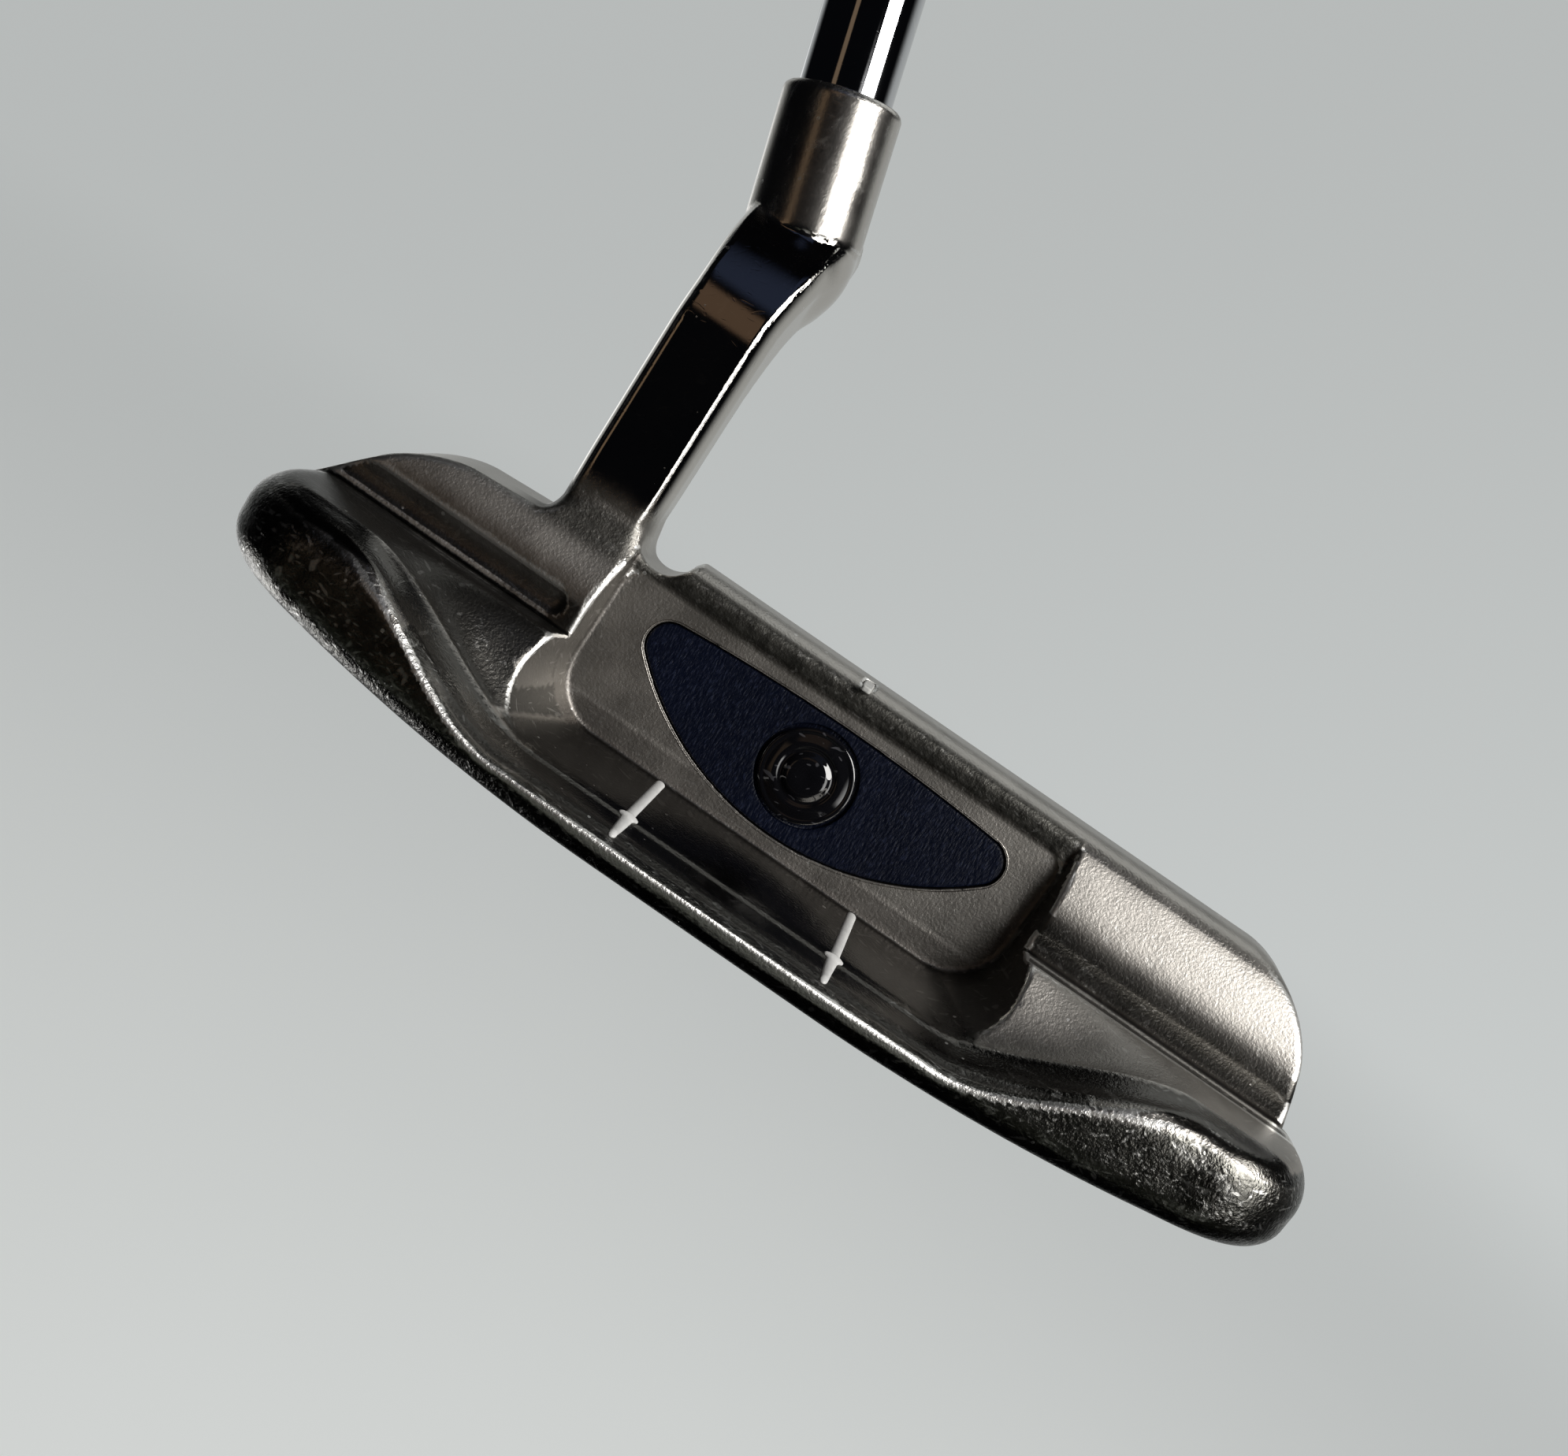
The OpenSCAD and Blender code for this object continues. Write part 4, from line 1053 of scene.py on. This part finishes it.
class PUTTER_OT_build_shaft(Operator):
    """Build the stepped, chromed steel shaft"""
    bl_idname = "putter.build_shaft"
    bl_label = "Build the shaft"

    def execute(self, context):
        settings = context.scene.putter_shaft
        chrome = self.chrome(settings)
        first = TIP_S + FIRST_STEP
        pitch = (GRIP_LOW_S - 15 - first) / (settings.steps - 1)
        # four rings at each step, then one at each end
        offsets = (-3.0, -1.0, 0.0, 2.0)
        count = 4 * settings.steps + 2
        line = bpy.data.meshes.new("shaft_tube")
        rings = [first + k * pitch + d for k in range(settings.steps) for d in offsets]
        axis = [s * MM for s in (TIP_S, *rings, BUTT_S)]
        line.from_pydata([(0, 0, s) for s in axis], [(i, i + 1) for i in range(count - 1)], [])
        guide = bpy.data.objects.new("shaft_tube", line)
        bpy.context.scene.collection.objects.link(guide)
        tree = bpy.data.node_groups.new("Stepped tube", "GeometryNodeTree")
        tree.interface.new_socket("Axis", in_out="INPUT", socket_type="NodeSocketGeometry")
        names = [("Tip radius", "NodeSocketFloat"), ("Butt radius", "NodeSocketFloat"), ("Steps", "NodeSocketInt"),
                 ("Wall", "NodeSocketFloat")]
        sockets = {key: tree.interface.new_socket(key, in_out="INPUT", socket_type=kind) for key, kind in names}
        tree.interface.new_socket("Tube", in_out="OUTPUT", socket_type="NodeSocketGeometry")
        start, end = tree.nodes.new("NodeGroupInput"), tree.nodes.new("NodeGroupOutput")
        index = tree.nodes.new("GeometryNodeInputIndex")
        shifted = math_node(tree, "ADD", index.outputs[0], 1.0)
        done = math_node(tree, "FLOOR", math_node(tree, "DIVIDE", shifted, 2.0))
        done = math_node(tree, "FLOOR", math_node(tree, "DIVIDE", done, 2.0))
        done = math_node(tree, "MINIMUM", done, start.outputs["Steps"])
        rise = math_node(tree, "SUBTRACT", start.outputs["Butt radius"], start.outputs["Tip radius"])
        rise = math_node(tree, "DIVIDE", rise, start.outputs["Steps"])
        radius = math_node(tree, "MULTIPLY_ADD", done, rise, start.outputs["Tip radius"])
        skins = []
        for inner in (False, True):
            value = math_node(tree, "SUBTRACT", radius, start.outputs["Wall"]) if inner else radius
            to_curve = tree.nodes.new("GeometryNodeMeshToCurve")
            link(tree, start.outputs["Axis"], to_curve.inputs["Mesh"])
            set_radius = tree.nodes.new("GeometryNodeSetCurveRadius")
            link(tree, to_curve.outputs[0], set_radius.inputs["Curve"])
            link(tree, value, set_radius.inputs["Radius"])
            sweep = tree.nodes.new("GeometryNodeCurveToMesh")
            circle = tree.nodes.new("GeometryNodeCurvePrimitiveCircle")
            circle.inputs["Resolution"].default_value = 96
            circle.inputs["Radius"].default_value = 1.0
            link(tree, set_radius.outputs[0], sweep.inputs["Curve"])
            link(tree, circle.outputs[0], sweep.inputs["Profile Curve"])
            if "Scale" in sweep.inputs:
                read = tree.nodes.new("GeometryNodeInputRadius")
                link(tree, read.outputs[0], sweep.inputs["Scale"])
            skin = sweep.outputs[0]
            if inner:
                flip = tree.nodes.new("GeometryNodeFlipFaces")
                link(tree, skin, flip.inputs[0])
                skin = flip.outputs[0]
            skins.append(skin)
        join = tree.nodes.new("GeometryNodeJoinGeometry")
        for skin in skins:
            link(tree, skin, join.inputs[0])
        end_tree(tree, join.outputs[0], end.inputs["Tube"], chrome)
        values = {sockets["Tip radius"].identifier: settings.tip, sockets["Butt radius"].identifier: settings.butt,
                  sockets["Steps"].identifier: settings.steps, sockets["Wall"].identifier: SHAFT_WALL * MM}
        piece = bake_nodes(guide, tree, values)
        mesh = piece.data
        co = np.empty(len(mesh.vertices) * 3)
        mesh.vertices.foreach_get("co", co)
        p, q, s = (co.reshape(-1, 3) / MM).T
        mesh.vertices.foreach_set("co", (np.stack(shaft_point(p, q, s), 1) * MM).ravel())
        self.close_ends(mesh)
        finish_piece(piece, "shaft_chrome", "shaft")
        return {"FINISHED"}

    def close_ends(self, mesh):
        """Joins the outer and inner walls with a ring at each end."""
        work = bmesh.new()
        work.from_mesh(mesh)
        open_edges = [e for e in work.edges if e.is_boundary]
        bmesh.ops.bridge_loops(work, edges=[e for e in open_edges if e.verts[0].co.z < 0.3])
        bmesh.ops.bridge_loops(work, edges=[e for e in open_edges if e.verts[0].co.z >= 0.3])
        bmesh.ops.recalc_face_normals(work, faces=work.faces)
        for face in work.faces:
            face.smooth = True
        work.to_mesh(mesh)
        work.free()
        mesh.set_sharp_from_angle(angle=math.radians(50))

    def chrome(self, settings):
        material, tree, shader = new_material("Chromed steel", metallic=1.0)
        place = object_coordinates(tree)
        grain = place_group(tree, "Fine grain", Vector=place, Size=1.1, Mottle_size=12.0)
        hair = place_group(tree, "Scratches", Vector=place, Density=0.1, Length=5.0)["Mask"]
        smear = mix_colour(tree, grain["Mottle"], rgba(settings.chrome), rgba([c * 0.93 for c in settings.chrome]))
        haired = mix_colour(tree, math_node(tree, "MULTIPLY", hair, 0.25), smear, (0.8, 0.8, 0.8, 1))
        link(tree, haired, shader.inputs["Base Color"])
        set_roughness(tree, shader, grain["Mottle"], 0.03, 0.07)
        bump(tree, shader, math_node(tree, "MULTIPLY_ADD", hair, -0.5, grain["Height"]), 0.000006, 0.35)
        return material


def grip_field(p, q, s):
    """Paddle grip: turned body cut by a flat front and a pistol-shaped back; s runs from its mouth."""
    stations = np.array([-5, 0, 6, 0.22 * GRIP_LEN, 0.5 * GRIP_LEN, 0.78 * GRIP_LEN, 0.88 * GRIP_LEN, GRIP_LEN + 20])
    radii = np.array([9, 9, 9, 10.2, 11.8, 13.8, 14.7, 14.9])
    backs = np.array([0, 8 / GRIP_LEN, 0.3, 0.56, 0.74, 0.84, 0.9, 0.95, 1]) * GRIP_LEN
    depth = np.array([9, 9, 10.4, 11.2, 12.4, 14.4, 15, 14.8, 13.5])
    fine = np.linspace(-10, GRIP_LEN + 10, 600)
    kernel = np.hanning(61) / np.hanning(61).sum()

    def smooth(at, value):
        line = np.interp(fine, at, value)
        padded = np.concatenate([np.full(30, line[0]), line, np.full(30, line[-1])])
        return np.interp(s, fine, np.convolve(padded, kernel, "valid"))
    flat = smooth(np.array([0, 0.25 * GRIP_LEN, GRIP_LEN]), np.array([9.0, 9.6, 10.4]))
    body = round_max(np.hypot(p, q) - smooth(stations, radii), p - flat, 2.2)
    body = round_max(body, -p - smooth(backs, depth), 3.0)
    body = round_max(body, s - GRIP_LEN, 3.0)
    return round_max(body, -s, 0.7)


class PUTTER_OT_mould_grip(Operator):
    """Mould the rubber grip, its ribs and its cap"""
    bl_idname = "putter.mould_grip"
    bl_label = "Mould the grip"

    def execute(self, context):
        settings = context.scene.putter_grip
        rubber = self.rubber(settings)
        seam = BUTT_S - GRIP_LOW_S

        def place(p, q, s):
            return shaft_point(p, q, s + GRIP_LOW_S)

        def sleeve(p, q, s):
            body = round_max(grip_field(p, q, s), s - seam + 0.02, 0.35)
            return np.maximum(body, BUTT_R + 0.15 - np.hypot(p, q))

        def cap(p, q, s):
            r = np.hypot(p, q)
            body = round_max(grip_field(p, q, s), seam + 0.02 - s, 0.35)
            body = np.maximum(body, -(np.maximum(np.abs(r - 6.5) - 0.5, GRIP_LEN - 0.5 - s)))
            return round_max(body, 1.5 - r, 0.4)

        step = 0.75
        body = field_piece("grip_sleeve", sleeve, (-17, -17, -2), (13, 17, seam + 2), step, place=place)
        set_material(body, rubber)
        ribs = self.ribs(body, settings, rubber)
        finish_piece(body, "grip_rubber", "grip")
        finish_piece(ribs, "grip_rubber")
        piece = field_piece("grip_end_cap", cap, (-17, -17, seam - 2), (13, 17, GRIP_LEN + 2), 0.5, place=place)
        set_material(piece, rubber)
        finish_piece(piece, "cap_rubber", "grip_cap")
        return {"FINISHED"}

    def ribs(self, body, settings, rubber):
        """Rows of small raised ribs cast onto the grip's surface in Geometry Nodes."""
        rows = int((GRIP_LEN - 58) / (settings.pitch / MM))
        tracks = (-150, -118, -86, -54, 54, 86, 118, 150)
        points, aims = [], []
        for row in range(rows):
            s = GRIP_LOW_S + 26 + row * settings.pitch / MM
            for angle in tracks:
                a = math.radians(angle)
                points.append(tuple(c * MM for c in shaft_point(24 * math.cos(a), 24 * math.sin(a), s)))
                inward = np.array(shaft_point(-math.cos(a), -math.sin(a), s)) - np.array(shaft_point(0, 0, s))
                aims += list(inward)
        guide_mesh = bpy.data.meshes.new("grip_ribs")
        guide_mesh.from_pydata(points, [], [])
        guide_mesh.attributes.new("aim", "FLOAT_VECTOR", "POINT").data.foreach_set("vector", aims)
        guide = bpy.data.objects.new("grip_ribs", guide_mesh)
        bpy.context.scene.collection.objects.link(guide)
        tree = bpy.data.node_groups.new("Ribs on a surface", "GeometryNodeTree")
        tree.interface.new_socket("Points", in_out="INPUT", socket_type="NodeSocketGeometry")
        target = tree.interface.new_socket("Surface", in_out="INPUT", socket_type="NodeSocketObject")
        size = tree.interface.new_socket("Rib size", in_out="INPUT", socket_type="NodeSocketFloat")
        seed = tree.interface.new_socket("Seed", in_out="INPUT", socket_type="NodeSocketInt")
        tree.interface.new_socket("Ribs", in_out="OUTPUT", socket_type="NodeSocketGeometry")
        start, end = tree.nodes.new("NodeGroupInput"), tree.nodes.new("NodeGroupOutput")
        info = tree.nodes.new("GeometryNodeObjectInfo")
        link(tree, start.outputs["Surface"], info.inputs["Object"])
        aim = tree.nodes.new("GeometryNodeInputNamedAttribute")
        aim.data_type = "FLOAT_VECTOR"
        aim.inputs["Name"].default_value = "aim"
        ray = tree.nodes.new("GeometryNodeRaycast")
        link(tree, info.outputs["Geometry"], ray.inputs["Target Geometry"])
        link(tree, aim.outputs[0], ray.inputs["Ray Direction"])
        ray.inputs["Ray Length"].default_value = 0.05
        move = tree.nodes.new("GeometryNodeSetPosition")
        link(tree, start.outputs["Points"], move.inputs["Geometry"])
        link(tree, ray.outputs["Hit Position"], move.inputs["Position"])
        keep = tree.nodes.new("GeometryNodeCaptureAttribute")
        keep.domain = "POINT"
        keep.capture_items.new("VECTOR", "Normal")
        link(tree, start.outputs["Points"], keep.inputs["Geometry"])
        link(tree, ray.outputs["Hit Normal"], keep.inputs[1])
        link(tree, keep.outputs["Geometry"], move.inputs["Geometry"])
        align = tree.nodes.new("FunctionNodeAlignRotationToVector")
        align.axis = "Z"
        link(tree, keep.outputs[1], align.inputs["Vector"])
        rib = tree.nodes.new("GeometryNodeMeshUVSphere")
        rib.inputs["Segments"].default_value = 10
        rib.inputs["Rings"].default_value = 6
        link(tree, start.outputs["Rib size"], rib.inputs["Radius"])
        squash = tree.nodes.new("GeometryNodeTransform")
        link(tree, rib.outputs["Mesh"], squash.inputs["Geometry"])
        squash.inputs["Scale"].default_value = (1.0, 1.0, 0.42)
        spread = tree.nodes.new("FunctionNodeRandomValue")
        spread.inputs[2].default_value = 0.9
        spread.inputs[3].default_value = 1.1
        link(tree, start.outputs["Seed"], spread.inputs["Seed"])
        place = tree.nodes.new("GeometryNodeInstanceOnPoints")
        link(tree, move.outputs[0], place.inputs["Points"])
        link(tree, squash.outputs[0], place.inputs["Instance"])
        link(tree, align.outputs[0], place.inputs["Rotation"])
        link(tree, spread.outputs[1], place.inputs["Scale"])
        end_tree(tree, place.outputs[0], end.inputs["Ribs"], rubber)
        values = {target.identifier: body, size.identifier: 1.15 * MM, seed.identifier: settings.seed}
        return bake_nodes(guide, tree, values)

    def rubber(self, settings):
        material, tree, shader = new_material("Moulded rubber", Specular_IOR_Level=0.35)
        place = object_coordinates(tree)
        grain = place_group(tree, "Fine grain", Vector=place, Size=0.5, Mottle_size=14.0)
        pale = rgba([c * 1.9 + 0.002 for c in settings.rubber])
        worn = mix_colour(tree, grain["Mottle"], rgba(settings.rubber), pale)
        link(tree, worn, shader.inputs["Base Color"])
        set_roughness(tree, shader, grain["Mottle"], 0.55, 0.72)
        bump(tree, shader, grain["Height"], 0.00012, 0.7)
        return material


class PUTTER_OT_finish_inner(Operator):
    """Give the tapes, glues and the plug that are hidden inside their own finishes"""
    bl_idname = "putter.finish_inner"
    bl_label = "Finish the inner parts"

    def execute(self, context):
        finishes = (
            ("Crepe tape", (0.62, 0.60, 0.55), 0.75, 0.0, 0.6, ("insert_tape", "grip_tape")),
            ("Cured epoxy", (0.42, 0.34, 0.17), 0.3, 0.0, 2.5, ("badge_adhesive", "shaft_epoxy")),
            ("Plug metal", (0.35, 0.33, 0.30), 0.4, 1.0, 0.4, ("tip_plug",)),
        )
        for name, colour, roughness, metallic, size, nodes in finishes:
            material, tree, shader = new_material(name, metallic=metallic)
            place = object_coordinates(tree)
            grain = place_group(tree, "Fine grain", Vector=place, Size=size, Mottle_size=4.0)
            base = mix_colour(tree, grain["Mottle"], rgba(colour), rgba([c * 0.75 for c in colour]))
            link(tree, base, shader.inputs["Base Color"])
            set_roughness(tree, shader, grain["Mottle"], roughness - 0.06, roughness + 0.08)
            bump(tree, shader, grain["Height"], 0.00005, 0.5)
            for item in nodes:
                set_material(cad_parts[item], material)
        return {"FINISHED"}


class PUTTER_OT_set_stage(Operator):
    """Set the camera, the pale floor and the soft studio light"""
    bl_idname = "putter.set_stage"
    bl_label = "Set the stage"

    def execute(self, context):
        settings = context.scene.putter_stage
        self.camera(context.scene)
        self.floor(settings)
        self.world(settings)
        self.lights(settings)
        context.scene.view_settings.view_transform = "Standard"
        return {"FINISHED"}

    def camera(self, scene):
        yaw, pitch, roll = (math.radians(a) for a in CAMERA_TURN)
        ahead = Vector((math.sin(yaw) * math.cos(pitch), math.cos(yaw) * math.cos(pitch), -math.sin(pitch)))
        level = Vector((math.cos(yaw), -math.sin(yaw), 0))
        upright = level.cross(ahead)
        right = math.cos(roll) * level + math.sin(roll) * upright
        up = -math.sin(roll) * level + math.cos(roll) * upright
        data = bpy.data.cameras.new("camera")
        data.sensor_fit = "HORIZONTAL"
        data.sensor_width = 36
        data.lens = 36 * 2034 / 1990
        data.clip_start = 0.005
        data.clip_end = 50
        camera = bpy.data.objects.new("camera", data)
        turn = Matrix((right, up, -ahead)).transposed().to_4x4()
        camera.matrix_world = Matrix.Translation(Vector(CAMERA_PLACE) * MM) @ turn
        scene.collection.objects.link(camera)
        scene.camera = camera

    def floor(self, settings):
        """Round floor that fades out towards the backdrop."""
        count, radius = 64, 6.0
        angles = [2 * math.pi * i / count for i in range(count)]
        points = [(0, 0, -settings.floor_depth)]
        points += [(radius * math.cos(a), radius * math.sin(a), -settings.floor_depth) for a in angles]
        faces = [(0, 1 + i, 1 + (i + 1) % count) for i in range(count)]
        floor = mesh_piece("studio_floor", np.array(points) / MM, faces)
        floor.visible_glossy = False
        material = bpy.data.materials.new("Pale floor")
        material.use_nodes = True
        tree = material.node_tree
        shader = tree.nodes["Principled BSDF"]
        shader.inputs["Roughness"].default_value = 0.9
        shader.inputs["Specular IOR Level"].default_value = 0.1
        shader.inputs["Emission Color"].default_value = (0.96, 1.0, 0.99, 1)
        shader.inputs["Emission Strength"].default_value = 0.35
        place = object_coordinates(tree)
        slow = noise(tree, place, 3.0, 3.0)
        link(tree, mix_colour(tree, slow, (0.60, 0.62, 0.61, 1), (0.66, 0.67, 0.665, 1)), shader.inputs["Base Color"])
        distance = node(tree, "ShaderNodeVectorMath", operation="LENGTH")
        link(tree, place, distance.inputs[0])
        link(tree, map_range(tree, distance.outputs["Value"], 0.7, 2.6, 1.0, 0.0), shader.inputs["Alpha"])
        set_material(floor, material)

    def world(self, settings):
        """Studio surroundings: dark on the camera's side, pale behind the club, soft panels on the toe side."""
        world = bpy.data.worlds.new("Studio")
        bpy.context.scene.world = world
        world.use_nodes = True
        tree = world.node_tree
        tree.nodes.clear()
        output = node(tree, "ShaderNodeOutputWorld")
        split = node(tree, "ShaderNodeSeparateXYZ")
        link(tree, node(tree, "ShaderNodeTexCoord").outputs["Generated"], split.inputs[0])
        x, y, z = split.outputs
        turned = math_node(tree, "ARCTAN2", x, math_node(tree, "MULTIPLY", y, -1.0))
        raised = math_node(tree, "ARCSINE", z)
        total = rgba((0.0015, 0.0015, 0.002))
        # colour, strength, then azimuth from -Y towards +X, its half width, elevation and its half height
        panels = (
            ((0.97, 1.0, 0.985), 0.46, 180, 58, -5, 34),
            ((1.0, 1.0, 1.0), 0.8, -150, 8, -12, 15),
            ((1.0, 1.0, 1.0), 3.8, -118, 24, -48, 13),
            ((1.0, 0.99, 0.97), 3.2, 49, 15, 4, 15),
            ((0.6, 0.8, 1.0), 0.0012, 0, 180, 0, 60),
            ((0.42, 0.27, 0.17), 0.24, -11, 14, 25, 9),
            ((0.16, 0.22, 0.42), 0.12, 4, 30, 56, 17),
            ((0.42, 0.29, 0.18), 0.42, -27, 5, -4, 14),
            ((0.30, 0.32, 0.25), 0.17, 5, 66, -40, 14),
        )
        for colour, strength, azimuth, width, elevation, height in panels:
            away = math_node(tree, "SUBTRACT", turned, math.radians(azimuth))
            away = math_node(tree, "ABSOLUTE", math_node(tree, "WRAP", away, math.pi, -math.pi))
            beside = map_range(tree, away, math.radians(width * 0.7), math.radians(width * 1.2), 1.0, 0.0)
            above = math_node(tree, "ABSOLUTE", math_node(tree, "SUBTRACT", raised, math.radians(elevation)))
            above = map_range(tree, above, math.radians(height * 0.7), math.radians(height * 1.2), 1.0, 0.0)
            glow = math_node(tree, "MULTIPLY", math_node(tree, "MULTIPLY", beside, above), strength)
            lit = mix_colour(tree, glow, (0, 0, 0, 1), rgba(colour))
            lit.node.clamp_factor = False
            total = mix_colour(tree, 1.0, total, lit, "ADD")
        sky = node(tree, "ShaderNodeBackground")
        feed(tree, sky.inputs["Color"], total)
        seen = node(tree, "ShaderNodeBackground")
        across = node(tree, "ShaderNodeVectorMath", operation="DOT_PRODUCT")
        link(tree, split.inputs[0].links[0].from_socket, across.inputs[0])
        across.inputs[1].default_value = (0.6, 0.0, -0.8)
        shade = map_range(tree, across.outputs["Value"], -0.25, 0.7, 0.95, 1.22)
        feed(tree, seen.inputs["Color"], rgba(settings.backdrop))
        feed(tree, seen.inputs["Strength"], shade)
        mix = node(tree, "ShaderNodeMixShader")
        link(tree, node(tree, "ShaderNodeLightPath").outputs["Is Camera Ray"], mix.inputs[0])
        link(tree, sky.outputs[0], mix.inputs[1])
        link(tree, seen.outputs[0], mix.inputs[2])
        link(tree, mix.outputs[0], output.inputs["Surface"])

    def lights(self, settings):
        for name, place, aim, size, power, colour in (
            ("key_light", (0.57, -0.355, 0.52), (0, 0, 0.02), 0.5, settings.key, (1.0, 0.985, 0.96)),
            ("top_light", (0.25, 0.9, 1.5), (0, 0, 0.2), 1.2, 3.0, (0.97, 1.0, 0.99)),
        ):
            data = bpy.data.lights.new(name, "AREA")
            data.shape = "SQUARE"
            data.size = size
            data.energy = power
            data.color = colour
            lamp = bpy.data.objects.new(name, data)
            lamp.location = place
            lamp.rotation_euler = (Vector(aim) - Vector(place)).to_track_quat("-Z", "Y").to_euler()
            bpy.context.scene.collection.objects.link(lamp)


class PUTTER_PT_build(Panel):
    """Lists the putter's building steps"""
    bl_label = "Blade putter"
    bl_idname = "PUTTER_PT_build"
    bl_space_type = "VIEW_3D"
    bl_region_type = "UI"
    bl_category = "Putter"

    def draw(self, context):
        for step in STEPS:
            self.layout.operator(step.bl_idname)
        for name, kind in SETTINGS:
            box = self.layout.box()
            for key in kind.__annotations__:
                box.prop(getattr(context.scene, name), key)


STEPS = (PUTTER_OT_set_stage, PUTTER_OT_cast_head, PUTTER_OT_fit_badge, PUTTER_OT_paint_marks, PUTTER_OT_fit_insert,
         PUTTER_OT_build_shaft, PUTTER_OT_mould_grip, PUTTER_OT_finish_inner)
SETTINGS = (("putter_head", PutterHeadSettings), ("putter_badge", PutterBadgeSettings),
            ("putter_marks", PutterMarkSettings), ("putter_shaft", PutterShaftSettings),
            ("putter_grip", PutterGripSettings), ("putter_stage", PutterStageSettings))


def register():
    for name, kind in SETTINGS:
        bpy.utils.register_class(kind)
        setattr(bpy.types.Scene, name, PointerProperty(type=kind))
    for kind in (*STEPS, PUTTER_PT_build):
        bpy.utils.register_class(kind)


def unregister():
    for kind in (PUTTER_PT_build, *reversed(STEPS)):
        bpy.utils.unregister_class(kind)
    for name, kind in reversed(SETTINGS):
        delattr(bpy.types.Scene, name)
        bpy.utils.unregister_class(kind)


def main():
    register()
    for step in STEPS:
        group, name = step.bl_idname.split(".")
        getattr(getattr(bpy.ops, group), name)()


if __name__ == "__main__":
    main()
